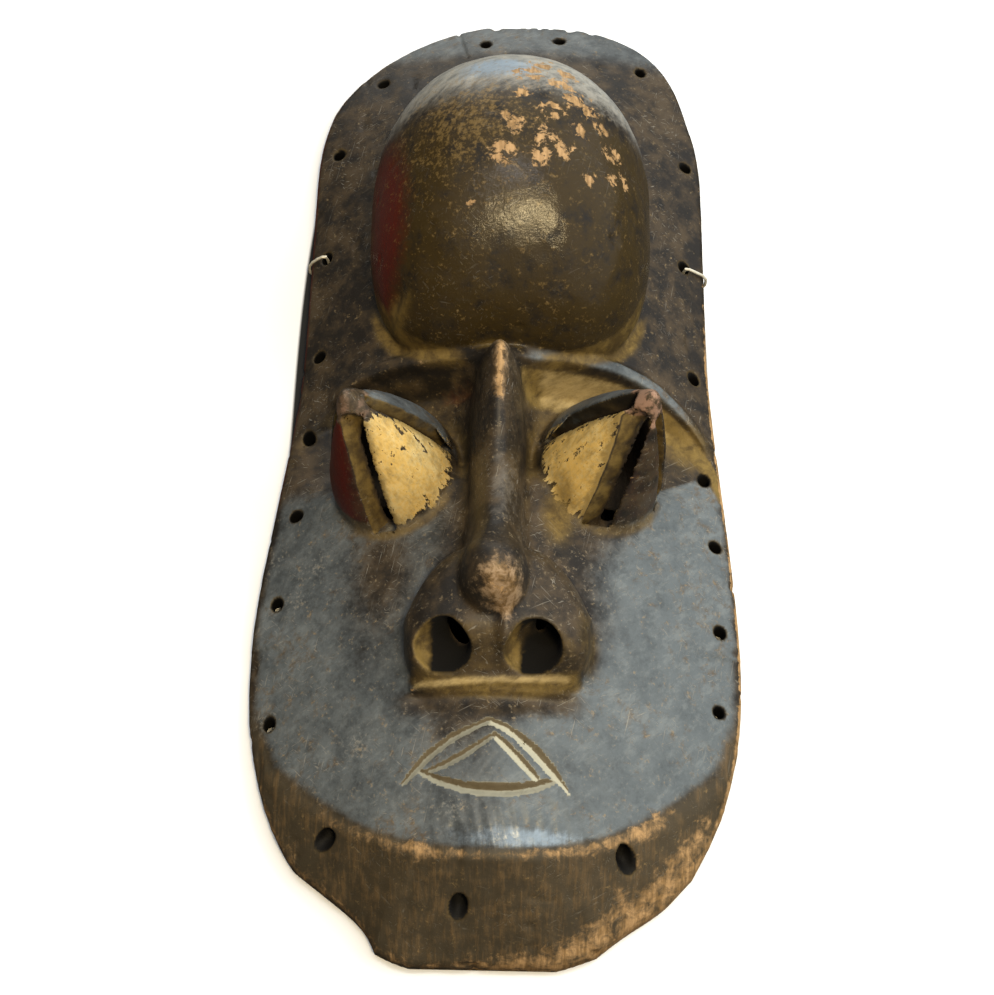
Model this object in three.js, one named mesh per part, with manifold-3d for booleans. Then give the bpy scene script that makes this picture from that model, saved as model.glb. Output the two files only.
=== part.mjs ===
// A carved wooden face mask lying on its back. Millimetres, +X to the viewer's
// right, +Y towards the crown, +Z out of the face. The rim rests flat on z = 0.
import * as THREE from 'three';
import { mergeVertices } from 'three/addons/utils/BufferGeometryUtils.js';
import Module from 'manifold-3d';

const wasm = await Module();
wasm.setup();

// Driving dimensions. Heights along the mask, called s, are measured from the
// chin end, 0 to LENGTH, and y = s - LENGTH / 2.
const LENGTH = 540;
const HALF_WIDTH = 121.8;        // at the jaw, s = JAW
const WAIST = 14;                // how much narrower each side is at the temples
const JAW = 150;
const TEMPLE = 330;
const CROWN_START = 425;         // the crown arch begins here
const CROWN_REACH = 117;         // and would close this far on, past the cut end
const FOOT_HALF = 42;            // half width of the flat chin end
const FOOT_SPLAY = 1.15;         // how fast the outline widens from there
const FOOT_SHIFT = 3.5;          // the chin end stands this far to the left
const RIM_EDGE = 9;              // thickness of the board at its edge
const FACE_RISE = 60;            // height of the face along its middle
const WALL = 13;                 // wall thickness over the hollow
const FLANGE = 19;               // width of the flat rim round the hollow
const CROWN_FLANGE = 36;         // wider at the crown, where the board is thin
const RIM_LIP = 10;              // height of the rim where the chin wall starts
const CHIN_RIDGE = { radius: 108, spread: 17.5, turn: 64 };  // arc about the jaw
const RIDGE_END_SLOPE = 1.2;     // steepness of the chin wall past the ridge's ends
const BROW = { top: 293, dip: 7, flat: 50, span: 64, fall: 35, edge: 5 };

const NOSE_X = -1.4;             // the carving is not quite symmetrical
const DOME = { x: 3, s: 382, z: 50, rx: 73, rs: 81, rz: 85, lower: 11, below: 28 };
const DOME_SQUARE = { foot: 3.3, top: 2.1 };  // powers of the dome's plan
const EYES = {
  right: { side: 1, x: 49.5, s: 236, lean: 23.5, up: 8 },
  left: { side: -1, x: -52.5, s: 232.5, lean: 22.5, up: 9 },
};
const EYE = { foot: 42, radius: 32, height: 80, bulge: 1.35, crownwards: 1.25 };
const EYE_WALL = 9;
const SLOT = { top: 62, reach: 32, draw: 0.2, inner: 2.5 };
// Each slot: direction, half width at the foot and at the top, how far it stands
// aside of the axis, and how far it veers for each mm that it goes in.
const SLOTS = {
  right: [[152, 6.4, 5, 0, 0], [67, 4.5, 4, 0, 0], [-22, 4.5, 4, 0, 0], [-90, 6.4, 5.6, -4.5, 1.35]],
  left: [[23, 6.4, 3.4, 0, 0], [95, 4.5, 4, 0, 0], [180, 4.5, 4, 0, 0], [-95, 6, 5, 0, 0.7]],
};
const HOLE_RADIUS = 3;
const WIRE_RADIUS = 0.8;
const NOTCH_DEPTH = 4;

const smooth = THREE.MathUtils.smoothstep;
const clamp = THREE.MathUtils.clamp;
const lerp = THREE.MathUtils.lerp;

// The outline: half width and middle line at height s. The chin end is cut a
// little to the left of the middle.
function footShift(s) {
  return FOOT_SHIFT * Math.exp(-Math.pow(s / 10, 2));
}

function halfWidth(s) {
  const chin = Math.pow(1 - Math.pow(clamp((JAW - s) / (JAW + 4), 0, 1), 2.25), 1 / 2.25);
  const crown = Math.pow(1 - Math.pow(clamp((s - CROWN_START) / CROWN_REACH, 0, 1), 2.3), 1 / 2.3);
  const side = HALF_WIDTH - WAIST * smooth(s, 140, TEMPLE);
  const splay = FOOT_HALF + FOOT_SPLAY * s + 2.5 * smooth(s, 15, 32) + footShift(s);
  return Math.min(side * chin * crown, splay);
}

function middle(s) {
  const chin = 3.5 * Math.exp(-Math.pow((s - 27) / 13, 2)) - footShift(s);
  return chin + 2 * smooth(s, JAW, 300) + 12.5 * smooth(s, 470, 545);
}

// The face board: highest along its spine, thinning to the rim at both sides.
function spine(s) {
  const face = FACE_RISE - 3 + 3 * smooth(s, 0, 120) + 4 * smooth(s, 235, 300);
  return face - 54 * Math.pow(clamp(s - 300, 0, 240) / 240, 2);
}

function board(x, s) {
  const half = s < JAW ? HALF_WIDTH : halfWidth(s);
  const across = Math.min(Math.abs(x - middle(s)) / half, 1);
  return RIM_EDGE + (spine(s) - RIM_EDGE) * (1 - Math.pow(across, 1.6));
}

// The brow line: two low arches that fall away to the rim.
function browLine(x) {
  const a = Math.abs(x - NOSE_X);
  if (a < BROW.flat) return BROW.top - BROW.dip * Math.pow((BROW.flat - a) / BROW.flat, 2);
  return BROW.top - BROW.fall * Math.pow((a - BROW.flat) / BROW.span, 2.6);
}

// Height of the carved front: the board, a raised brow edge, and the hollow
// below it in which the eyes stand.
const SOCKET_DEPTH = 20;
function socket(x, s, margin) {
  const a = Math.abs(x - NOSE_X);
  const depth = SOCKET_DEPTH * (1 - smooth(a, 62 + margin, 113 + margin));
  return depth * smooth(browLine(x) - s, 3 - margin, 14 - margin) * smooth(s, 222 - margin, 246 - margin);
}

function front(x, s) {
  const a = Math.abs(x - NOSE_X);
  const above = s - browLine(x);
  const edge = BROW.edge * (above > 0 ? 1 - smooth(above, 1, 7) : 1 - smooth(-above, 3, 6));
  const fade = x < 0 ? 76 : 100;
  return board(x, s) + edge * (1 - smooth(a, fade, fade + 16)) - socket(x, s, 0);
}

// A closed three.js geometry becomes a solid. Only the positions are kept.
function solid(geometry) {
  const bare = geometry.clone();
  for (const name of Object.keys(bare.attributes)) {
    if (name !== 'position') bare.deleteAttribute(name);
  }
  const merged = mergeVertices(bare, 1e-4);
  return new wasm.Manifold(new wasm.Mesh({
    numProp: 3,
    vertProperties: new Float32Array(merged.attributes.position.array),
    triVerts: new Uint32Array(merged.index.array),
  }));
}

// Moves every vertex of a closed geometry by a rule, then makes it a solid.
function shaped(geometry, rule) {
  const position = geometry.attributes.position;
  const v = new THREE.Vector3();
  for (let i = 0; i < position.count; i += 1) {
    v.fromBufferAttribute(position, i);
    rule(v);
    position.setXYZ(i, v.x, v.y, v.z);
  }
  return solid(geometry);
}

// A solid under a height field. Its rows are lines s = row(x) from chin to
// crown, so an edge in the carving can follow a row of vertices.
function heightField(columns, rows, half, height, floor) {
  const box = new THREE.BoxGeometry(2, 1, 1, columns.length - 1, rows.length - 1, 1);
  return shaped(box, (v) => {
    const across = columns[Math.round((v.x + 1) / 2 * (columns.length - 1))];
    const row = rows[Math.round((v.y + 0.5) * (rows.length - 1))];
    let s = row(0);
    let x = 0;
    for (let i = 0; i < 4; i += 1) {
      x = middle(s) + across * half(s);
      s = row(x);
    }
    v.set(x, s - LENGTH / 2, v.z > 0 ? height(x, s) : floor);
  });
}

function evenColumns(count) {
  const list = [];
  for (let i = 0; i <= count; i += 1) {
    const u = 2 * i / count - 1;
    list.push(Math.sign(u) * (1 - Math.pow(1 - Math.abs(u), 1.25)));
  }
  return list;
}

const level = (s) => () => s;

// Levels at which the outline turns enough to need a corner.
const CHIN_LEVELS = [0, 4, 10, 18, 28, 40, 54, 70, 90, 112, 136];
const SIDE_LEVELS = [152, 168, 184, 200, 216, 232, 248, 264, 280, 296, 314, 332];
const CROWN_LEVELS = [350, 375, 400, 424, 446, 466, 484, 500, 514, 526, 534, 540];
const OUTLINE_LEVELS = [...CHIN_LEVELS, ...SIDE_LEVELS, ...CROWN_LEVELS];

// Rows of the front: even at chin and forehead, and bent along the brow line.
function frontRows() {
  const rows = [...CHIN_LEVELS, 160, 184, 204, 220].map(level);
  const below = -14;
  for (const part of [0.2, 0.5, 0.8]) {
    rows.push((x) => lerp(228, browLine(x) + below, part));
  }
  for (const offset of [-14, -9.5, -5.5, -3, 1, 4, 7]) {
    rows.push((x) => browLine(x) + offset);
  }
  for (const part of [0.3, 0.65]) {
    rows.push((x) => lerp(browLine(x) + 7, 350, part));
  }
  return rows.concat(CROWN_LEVELS.map(level));
}

// Steepness of the chin wall, which rises from the rim to the chin ridge. The
// ridge is a wide arc about the jaw, and past its ends the wall stands clear.
function chinSlope(edge) {
  const turn = THREE.MathUtils.radToDeg(Math.atan2(Math.abs(edge.x), -edge.y));
  const widen = Math.pow(Math.min(turn, CHIN_RIDGE.turn) / CHIN_RIDGE.turn, 1.7);
  const radius = CHIN_RIDGE.radius + CHIN_RIDGE.spread * widen;
  const at = edge.clone().setLength(radius);
  const rise = board(at.x, at.y + JAW) - RIM_LIP;
  const slope = rise / Math.max(edge.length() - radius, 5);
  return lerp(slope, RIDGE_END_SLOPE, smooth(turn, 52, CHIN_RIDGE.turn));
}

// A solid over the outline, drawn in by an inset, with the chin wall as flank.
function chinFlank(inset, lift) {
  const half = OUTLINE_LEVELS.length;
  const segments = 2 * half;
  const tube = new THREE.CylinderGeometry(1, 1, 1, segments, 2);
  return shaped(tube, (v) => {
    const turn = Math.atan2(v.x, v.z) / (2 * Math.PI);
    const index = Math.round(((turn + 1) % 1) * segments) % segments;
    const onRight = index < half;
    const s = OUTLINE_LEVELS[onRight ? index : segments - 1 - index];
    const side = onRight ? 1 : -1;
    const edge = new THREE.Vector2(middle(s) + side * halfWidth(s), s - JAW);
    const far = edge.length();
    const centre = Math.hypot(v.x, v.z) < 0.5;
    const ring = v.y < -0.25 ? 0 : (v.y < 0.25 ? 1 : 2);
    const near = centre ? 0 : (ring === 2 ? 0.3 * far : far - inset + 4);
    const z = ring === 0 ? -20 : lift + chinSlope(edge) * (far - inset - near);
    edge.multiplyScalar(near / far);
    v.set(edge.x, edge.y + JAW - LENGTH / 2, centre && ring === 2 ? LENGTH : z);
  });
}

// The dome on the forehead, or the hollow behind it when drawn in by a wall.
function dome(wall, around, up) {
  const ball = new THREE.SphereGeometry(1, around, up);
  ball.rotateX(Math.PI / 2);
  return shaped(ball, (v) => {
    const reach = (v.y > 0 ? DOME.rs : DOME.rs + DOME.lower) - wall;
    const rise = v.z > 0 ? DOME.rz - wall : DOME.below + wall;
    const plan = Math.hypot(v.x, v.y);
    const power = v.y > 0 ? DOME_SQUARE.top : DOME_SQUARE.foot;
    const full = Math.pow(Math.pow(Math.abs(v.x), power) + Math.pow(Math.abs(v.y), power), 1 / power);
    if (plan > 1e-6) v.set(v.x * plan / full, v.y * plan / full, v.z);
    v.set(
      DOME.x + v.x * (DOME.rx - wall),
      DOME.s - LENGTH / 2 + v.y * reach,
      DOME.z + v.z * rise,
    );
  });
}

// The nose: a bridge with a sharp upper end, a round tip and two wide wings,
// cut off by the slanting face that holds the nostrils.
const BRIDGE_FOOT = 36;
const BRIDGE = [
  // s, height of the ridge, half width at the foot, fullness of the section
  [292, 66, 10, 2],
  [286, 82, 12, 1.9],
  [280, 98, 13.5, 1.9],
  [273, 105.5, 14.5, 1.9],
  [262, 104, 15, 2],
  [246, 100, 15.5, 2.1],
  [230, 95, 16, 2.4],
  [212, 92, 16, 2.4],
  [194, 95, 17, 2.4],
  [178, 100, 18.5, 2.4],
  [162, 101, 17, 2.4],
  [149, 84, 12, 2.4],
];

function bridge() {
  const columns = [-1, -0.92, -0.75, -0.5, -0.22, 0, 0.22, 0.5, 0.75, 0.92, 1];
  const stations = BRIDGE.length - 1;
  const box = new THREE.BoxGeometry(2, 1, 1, columns.length - 1, stations, 1);
  return shaped(box, (v) => {
    const u = columns[Math.round((v.x + 1) / 2 * (columns.length - 1))];
    const [s, ridge, half, fullness] = BRIDGE[stations - Math.round((v.y + 0.5) * stations)];
    const rise = Math.pow(Math.max(0, 1 - Math.pow(Math.abs(u), fullness)), 0.8);
    const side = BRIDGE_FOOT + 2;
    v.set(NOSE_X + u * half, s - LENGTH / 2, v.z > 0 ? side + (ridge - side) * rise : BRIDGE_FOOT);
  });
}

function ellipsoid(centre, radii, around, up) {
  const ball = new THREE.SphereGeometry(1, around, up);
  ball.rotateX(Math.PI / 2);
  ball.scale(radii[0], radii[1], radii[2]);
  ball.translate(centre[0], centre[1] - LENGTH / 2, centre[2]);
  return solid(ball);
}

const WINGS = { s: 150, z: 48, rx: 46, rs: 37, rz: 38, power: 2.8, narrow: 0.4 };
const NOSE_TIP = { centre: [NOSE_X - 0.5, 162.5, 84], radii: [15, 16.5, 28] };
const NOSE_FOLD = { centre: [4, 142, 75], radii: [5.5, 12, 14] };  // below the tip
const BEHIND_NOSE = { centre: [NOSE_X, 160, 38], radii: [27, 32, 38] };
const NOSTRIL_FACE = { s: 121, z: 58, angle: 56 };

// The wings are fuller at the corners than an ellipsoid.
function wingBody() {
  const ball = new THREE.SphereGeometry(1, 22, 10);
  ball.rotateX(Math.PI / 2);
  return shaped(ball, (v) => {
    const reach = [v.x, v.y, v.z].reduce((sum, part) => sum + Math.pow(Math.abs(part), WINGS.power), 0);
    v.multiplyScalar(Math.pow(reach, -1 / WINGS.power));
    v.x *= 1 - WINGS.narrow * Math.max(v.y, 0);
    v.set(NOSE_X + v.x * WINGS.rx, WINGS.s - LENGTH / 2 + v.y * WINGS.rs, WINGS.z + v.z * WINGS.rz);
  });
}

function nose() {
  const face = new THREE.BoxGeometry(140, 80, 120);
  face.translate(0, -40, 0);
  face.rotateX(THREE.MathUtils.degToRad(NOSTRIL_FACE.angle - 90));
  face.translate(NOSE_X, NOSTRIL_FACE.s - LENGTH / 2, NOSTRIL_FACE.z);
  const cutWings = wingBody().subtract(solid(face));
  const tip = ellipsoid(NOSE_TIP.centre, NOSE_TIP.radii, 16, 10);
  const fold = ellipsoid(NOSE_FOLD.centre, NOSE_FOLD.radii, 8, 6);
  return cutWings.add(tip).add(fold).add(bridge());
}

// Two oval nostrils bored into the slanting face. They narrow and veer to the
// right as they go through to the hollow.
const NOSTRIL = { x: -3.5, s: 152, z: 65.5, apart: 21, rx: 12.4, rs: 13.4, face: -23 };
const NOSTRIL_STATIONS = [
  // depth below the face, size, shift to the right
  [-30, 1, 0],
  [4, 1, 0],
  [18, 0.6, 7.5],
  [38, 0.56, 9],
];

function nostrils() {
  let all = null;
  for (const side of [-1, 1]) {
    const last = NOSTRIL_STATIONS.length - 1;
    const bore = new THREE.CylinderGeometry(1, 1, 1, 14, last);
    const around = new THREE.Vector3(1, 0, 0);
    const tilt = THREE.MathUtils.degToRad(NOSTRIL_FACE.angle - 90);
    const cut = shaped(bore, (v) => {
      const [depth, size, shift] = NOSTRIL_STATIONS[Math.round((v.y + 0.5) * last)];
      v.set(v.x * NOSTRIL.rx * size + shift, depth + NOSTRIL.face, v.z * NOSTRIL.rs * size);
      v.applyAxisAngle(around, tilt);
      v.add(new THREE.Vector3(NOSTRIL.x + side * NOSTRIL.apart, NOSTRIL.s - LENGTH / 2, NOSTRIL.z));
    });
    all = all ? all.add(cut) : cut;
  }
  return all;
}

// An eye: a leaning cone with a rounded point, fuller towards the crown, with
// four slots and a hollow inside.
function eyePlace(eye) {
  const axis = new THREE.Vector3(eye.side * eye.lean, eye.up, EYE.height).normalize();
  const turn = new THREE.Quaternion().setFromUnitVectors(new THREE.Vector3(0, 0, 1), axis);
  const foot = new THREE.Vector3(eye.x, eye.s - LENGTH / 2, EYE.foot);
  return new THREE.Matrix4().compose(foot, turn, new THREE.Vector3(1, 1, 1));
}

function coneRadius(h, wall) {
  return Math.max(EYE.radius * (1 - Math.pow(clamp(h / EYE.height, 0, 1), EYE.bulge)) - wall, 0);
}

function cone(eye, wall, top, segments) {
  const profile = [new THREE.Vector2(0, -16)];
  const steps = 6;
  profile.push(new THREE.Vector2(coneRadius(0, wall) + (wall ? 0 : 3), -16));
  for (let i = 0; i <= steps; i += 1) {
    const h = top * i / steps;
    profile.push(new THREE.Vector2(coneRadius(h, wall), h));
  }
  profile.push(new THREE.Vector2(0, top + (wall ? 2 : 3.5)));
  const body = new THREE.LatheGeometry(profile, segments);
  body.rotateX(Math.PI / 2);
  const place = eyePlace(eye);
  return shaped(body, (v) => {
    if (v.y > 0) v.y *= EYE.crownwards;
    v.applyMatrix4(place);
  });
}

const SLOT_LEVELS = [-4, 28, 58, SLOT.top + 4];
function slots(eye, cuts) {
  let all = null;
  const place = eyePlace(eye);
  for (const [degrees, foot, top, aside, veer] of cuts) {
    const up = SLOT_LEVELS.length - 1;
    const box = new THREE.BoxGeometry(1, 1, 1, 3, 1, up);
    const turn = THREE.MathUtils.degToRad(degrees);
    const cut = shaped(box, (v) => {
      const level = Math.round((v.z + 0.5) * up);
      const h = SLOT_LEVELS[level];
      const radius = Math.max(coneRadius(h, 0), SLOT.inner + 2);
      const within = Math.max(radius - EYE_WALL, SLOT.inner + 1);
      const outs = [SLOT.inner, within, radius, SLOT.reach - SLOT.draw * h + 3];
      const station = Math.round((v.x + 0.5) * 3);
      const half = lerp(foot, top, clamp(h / SLOT.top, 0, 1)) * (level === up ? 0.5 : 1);
      const deep = station < 2 ? radius - within : 0;
      v.set(outs[station], 2 * half * v.y + aside + veer * deep, h);
      v.applyAxisAngle(new THREE.Vector3(0, 0, 1), turn);
      v.applyMatrix4(place);
    });
    all = all ? all.add(cut) : cut;
  }
  return all;
}

// Lace holes, one radius in from the edge of the board. Each is [x, s].
const LACE_HOLES = [
  [-13.7, 521.5], [29.9, 525.5], [76.4, 506], [100.7, 440], [98, 372], [101.5, 304],
  [105.5, 246], [109.5, 209], [110.6, 163], [108, 122], [-108.9, 111], [-109.5, 173],
  [-103, 220], [-99.5, 266], [-96.5, 313], [-96.3, 375], [-94.2, 443], [-71, 493],
];
// Three wider ovals run nearly level into the chin wall. Each is [x, s, half width].
const CHIN_HOLES = [[-14.8, 22, 4], [69, 32, 4.6], [-84.5, 44.5, 4.2]];
const CHIN_BORE = { tall: 1.5, fall: 0.25, rise: 1.15 };

function laceHoles() {
  let all = null;
  const join = (geometry) => {
    const cut = solid(geometry);
    all = all ? all.add(cut) : cut;
  };
  for (const [x, s] of LACE_HOLES) {
    const bore = new THREE.CylinderGeometry(HOLE_RADIUS, HOLE_RADIUS, 60, 8);
    bore.rotateX(Math.PI / 2);
    bore.translate(x, s - LENGTH / 2, 20);
    join(bore);
  }
  for (const [x, s, wide] of CHIN_HOLES) {
    const bore = new THREE.CylinderGeometry(wide, wide, 60, 8);
    bore.scale(1, 1, CHIN_BORE.tall);
    bore.rotateX(-Math.atan(CHIN_BORE.fall));
    bore.rotateZ(Math.atan2(x, JAW - s));
    const mouth = Math.min(board(x, s), RIM_LIP + CHIN_BORE.rise * s);
    bore.translate(x, s - LENGTH / 2, mouth);
    join(bore);
  }
  return all;
}

// The mouth: shallow V-cuts, an outer leaf shape with a chevron inside it. Each
// cut is a line of points [x, s, half width].
const MOUTH = [
  [[-41.5, 74.5, 0.8], [-37.4, 79.5, 1.7], [-29.8, 87.5, 2.2], [-18.9, 95.4, 2], [-3.3, 102.6, 1.3]],
  [[-3.3, 103, 1.4], [10.2, 96.2, 2.2], [19.2, 88.6, 3], [26, 81.1, 2.6], [34, 71.5, 0.7]],
  [[-35.5, 80.8, 1], [-24.9, 75.6, 2], [-7.1, 71, 2.9], [10.5, 71.2, 2.9], [26, 75.7, 1.6], [30.5, 78, 0.7]],
  [[-30, 80, 1], [-15, 86.5, 1.8], [-1.2, 95.6, 1]],
  [[-0.5, 96.3, 1.2], [10.3, 86.4, 2.1], [21, 75.1, 1.2]],
];
const MOUTH_SLOPE = 0.85;
const ABOVE_FACE = 1.5;

function groove(points) {
  const last = points.length - 1;
  const bar = new THREE.CylinderGeometry(1, 1, 1, 3, last);
  return shaped(bar, (v) => {
    const i = Math.round((0.5 - v.y) * last);
    const [px, ps, half] = points[i];
    const before = points[Math.max(i - 1, 0)];
    const after = points[Math.min(i + 1, last)];
    const along = new THREE.Vector2(after[0] - before[0], after[1] - before[1]).normalize();
    const centre = Math.hypot(v.x, v.z) < 0.5;
    const corner = Math.round(((Math.atan2(v.x, v.z) / (2 * Math.PI)) + 1) % 1 * 3) % 3;
    const reach = half + ABOVE_FACE / MOUTH_SLOPE;
    const side = centre || corner === 0 ? 0 : (corner === 1 ? -1 : 1) * reach;
    const up = centre ? 0.6 : (corner === 0 ? -MOUTH_SLOPE * half : ABOVE_FACE);
    v.set(px - along.y * side, ps + along.x * side - LENGTH / 2, front(px, ps) + up);
  });
}

// The hanging wire: from the hollow up through a hole, over the edge of the
// rim, back under it in a notch and straight across to the other side.
const WIRE_Z = 1.5;
function wireEnd(side, hole, edge) {
  const [x, s] = hole;
  return [
    [x - side * 17, s + 1.6, 4.2],
    [x - side * 10, s + 1.2, 2.2],
    [x - side * 4, s + 0.4, WIRE_Z + 0.4],
    [x - side * 0.4, s, 5],
    [x, s, 12],
    [x + side * 1.4, s - 0.3, 17.2],
    [x + side * 5, s - 0.9, 16],
    [edge + side * 0.2, s - 1.6, 11],
    [edge + side * 1.2, s - 2.2, 6.4],
    [edge + side * 0.2, s - 2.6, 2.4],
    [edge - side * 5, s - 3, WIRE_Z],
    [x - side * 4, s - 3.8, WIRE_Z + 0.2],
    [x - side * 14, s - 5, 3],
  ].map(([px, ps, pz]) => new THREE.Vector3(px, ps - LENGTH / 2, pz));
}

const LEFT_HOLE = LACE_HOLES[15];
const RIGHT_HOLE = LACE_HOLES[4];
const LEFT_EDGE = middle(372) - halfWidth(372);
const RIGHT_EDGE = middle(370) + halfWidth(370);

function wirePath() {
  const left = wireEnd(-1, LEFT_HOLE, LEFT_EDGE);
  const right = wireEnd(1, RIGHT_HOLE, RIGHT_EDGE).reverse();
  const span = [-45, 0, 45].map((x) => new THREE.Vector3(x, 368.5 - LENGTH / 2, 4));
  return new THREE.CatmullRomCurve3([...left, ...span, ...right], false, 'centripetal');
}

function hangingWire() {
  const path = wirePath();
  const steps = Math.round(1.6 * path.points.length);
  const frames = path.computeFrenetFrames(steps, false);
  const tube = new THREE.CylinderGeometry(1, 1, 1, 8, steps);
  return shaped(tube, (v) => {
    const i = Math.round((v.y + 0.5) * steps);
    const at = path.getPoint(i / steps);
    const tangent = path.getTangent(i / steps);
    const across = frames.normals[i].clone();
    across.addScaledVector(tangent, -across.dot(tangent)).normalize();
    const up = new THREE.Vector3().crossVectors(tangent, across);
    at.addScaledVector(across, v.z * WIRE_RADIUS).addScaledVector(up, v.x * WIRE_RADIUS);
    v.copy(at);
  });
}

// Two notches under the rim at each hole let the wire lie above z = 0.
const NOTCH = { long: 44, wide: 12, tall: 10 };
function wireNotches() {
  let all = null;
  for (const [side, hole] of [[-1, LEFT_HOLE], [1, RIGHT_HOLE]]) {
    const notch = new THREE.BoxGeometry(NOTCH.long, NOTCH.wide, NOTCH.tall);
    notch.translate(hole[0] + side * 3, hole[1] - 1.6 - LENGTH / 2, NOTCH_DEPTH - NOTCH.tall / 2);
    const cut = solid(notch);
    all = all ? all.add(cut) : cut;
  }
  return all;
}

// The hollow: the same forms drawn in by the wall, open at the back.
function hollow() {
  const rows = [FLANGE, 26, 36, 50, 70, 110, 150, 190, 208, 232].map(level);
  for (const offset of [-22, -10, 0, 8]) {
    rows.push((x) => browLine(x) + offset);
  }
  rows.push(...[330, 370, 410, 440, 465, 485, 497, LENGTH - CROWN_FLANGE].map(level));
  const half = (s) => Math.max(halfWidth(s) - FLANGE, 10);
  const roof = (x, s) => Math.max(board(x, s) - WALL - socket(x, s, 9), 3);
  const shell = heightField(evenColumns(8), rows, half, roof, -10);
  const trimmed = shell.intersect(chinFlank(15, 0));
  return trimmed
    .add(dome(12, 18, 8))
    .add(ellipsoid(BEHIND_NOSE.centre, BEHIND_NOSE.radii, 14, 8))
    .add(cone(EYES.right, EYE_WALL, 50, 12))
    .add(cone(EYES.left, EYE_WALL, 50, 12));
}

function carvedMask() {
  const face = heightField(evenColumns(18), frontRows(), halfWidth, front, 0);
  let wood = face.intersect(chinFlank(0, RIM_LIP));
  wood = wood.add(dome(0, 30, 14)).add(nose());
  wood = wood.add(cone(EYES.right, 0, 74, 22)).add(cone(EYES.left, 0, 74, 22));
  wood = wood.subtract(hollow()).subtract(nostrils());
  wood = wood.subtract(slots(EYES.right, SLOTS.right)).subtract(slots(EYES.left, SLOTS.left));
  wood = wood.subtract(laceHoles()).subtract(wireNotches());
  for (const line of MOUTH) {
    wood = wood.subtract(groove(line));
  }
  return wood;
}

function toGeometry(body) {
  const mesh = body.getMesh();
  const geometry = new THREE.BufferGeometry();
  geometry.setAttribute('position', new THREE.BufferAttribute(new Float32Array(mesh.vertProperties), 3));
  geometry.setIndex(new THREE.BufferAttribute(new Uint32Array(mesh.triVerts), 1));
  geometry.computeVertexNormals();
  return geometry;
}

function named(name, geometry, color, roughness, metalness) {
  const mesh = new THREE.Mesh(geometry, new THREE.MeshStandardMaterial({ color, roughness, metalness }));
  mesh.name = name;
  return mesh;
}

const part = new THREE.Group();
part.add(named('carved_mask', toGeometry(carvedMask()), 0x3d3029, 0.55, 0));
part.add(named('hanging_wire', toGeometry(hangingWire()), 0xcdb98a, 0.4, 0.8));

export default part;
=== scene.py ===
import math
from functools import reduce
import bpy
import numpy as np
from mathutils import Matrix, Vector


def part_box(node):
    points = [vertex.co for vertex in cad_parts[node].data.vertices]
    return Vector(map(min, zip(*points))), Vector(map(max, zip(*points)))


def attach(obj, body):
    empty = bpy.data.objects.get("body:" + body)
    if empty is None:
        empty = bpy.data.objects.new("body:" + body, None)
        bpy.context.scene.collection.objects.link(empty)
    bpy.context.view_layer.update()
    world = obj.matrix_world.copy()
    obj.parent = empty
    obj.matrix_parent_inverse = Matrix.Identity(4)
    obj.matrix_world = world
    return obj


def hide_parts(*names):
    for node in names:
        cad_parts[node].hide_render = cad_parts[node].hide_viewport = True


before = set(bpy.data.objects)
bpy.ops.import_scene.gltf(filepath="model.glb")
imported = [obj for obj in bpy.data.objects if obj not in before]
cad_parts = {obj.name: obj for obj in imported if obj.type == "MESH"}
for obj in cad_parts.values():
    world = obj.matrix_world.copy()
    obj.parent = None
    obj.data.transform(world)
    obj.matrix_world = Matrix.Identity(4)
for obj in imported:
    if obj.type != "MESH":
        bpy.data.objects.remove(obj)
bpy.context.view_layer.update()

# Camera
# The mask lies on its back with the chin nearest. The camera looks down on it
# from 66 degrees above the rim, from beyond the chin, turned a little in its own plane.
mm = 0.001
view_height = math.radians(66)
view_distance = 850 * mm
view_roll = math.radians(1.2)
aim = Vector((-1.2, -42.6, 30)) * mm
focal_px, long_side_px = 1690, 995

lens = bpy.data.cameras.new("camera")
lens.sensor_width = 36
lens.lens = lens.sensor_width * focal_px / long_side_px
lens.clip_start, lens.clip_end = 0.05, 20
camera = bpy.data.objects.new("camera", lens)
bpy.context.collection.objects.link(camera)
away = Vector((0, -math.cos(view_height), math.sin(view_height)))
camera.location = aim + away * view_distance
facing = (-away).to_track_quat("-Z", "Y").to_matrix().to_4x4()
camera.matrix_world = Matrix.Translation(camera.location) @ facing @ Matrix.Rotation(view_roll, 4, "Z")
bpy.context.scene.camera = camera

# The wood: outline and face board
# One long block of pale hardwood, hewn with an adze. Its face board is highest
# along the middle and thins to a flat rim; the chin is cut back as a steep wall.
# Sizes are in millimetres. Height along the mask, s, runs from the chin end.
length = 540
jaw_width, waist = 121.8, 14
jaw_at, temple_at, crown_at, crown_reach = 150, 330, 425, 117
crown_power, chin_power = 2.3, 2.25
foot_half, foot_splay, foot_shift, foot_flare, splay_lean = 42, 1.15, 3.5, 2.5, 0.656
jaw_lean, crown_lean = 2, 12.5
rim_edge, rim_lip, wall_thick = 9, 10, 13
spine_high, chin_rise, brow_rise, crown_fall = 57, 3, 4, 54
ridge_radius, ridge_spread, ridge_turn, ridge_end_steep = 108, 17.5, 64, 1.2
nose_x = -1.4


def ease(v, low, high):
    t = np.clip((v - low) / (high - low), 0, 1)
    return t * t * (3 - 2 * t)


def bell(v, centre, width):
    return np.exp(-((v - centre) / width) ** 2)


def most(*layers):
    return reduce(np.maximum, layers)


def least(*layers):
    return reduce(np.minimum, layers)


def join(a, b, soft):
    """Both bodies, with a fillet where they meet. Negative is inside."""
    gap = np.maximum(soft - np.abs(a - b), 0) / soft
    return np.minimum(a, b) - gap * gap * soft / 4


def keep(a, b, soft):
    """Only what lies in both bodies, with a rounded edge."""
    return -join(-a, -b, soft)


def cut(a, b, soft):
    return keep(a, -b, soft)


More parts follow.
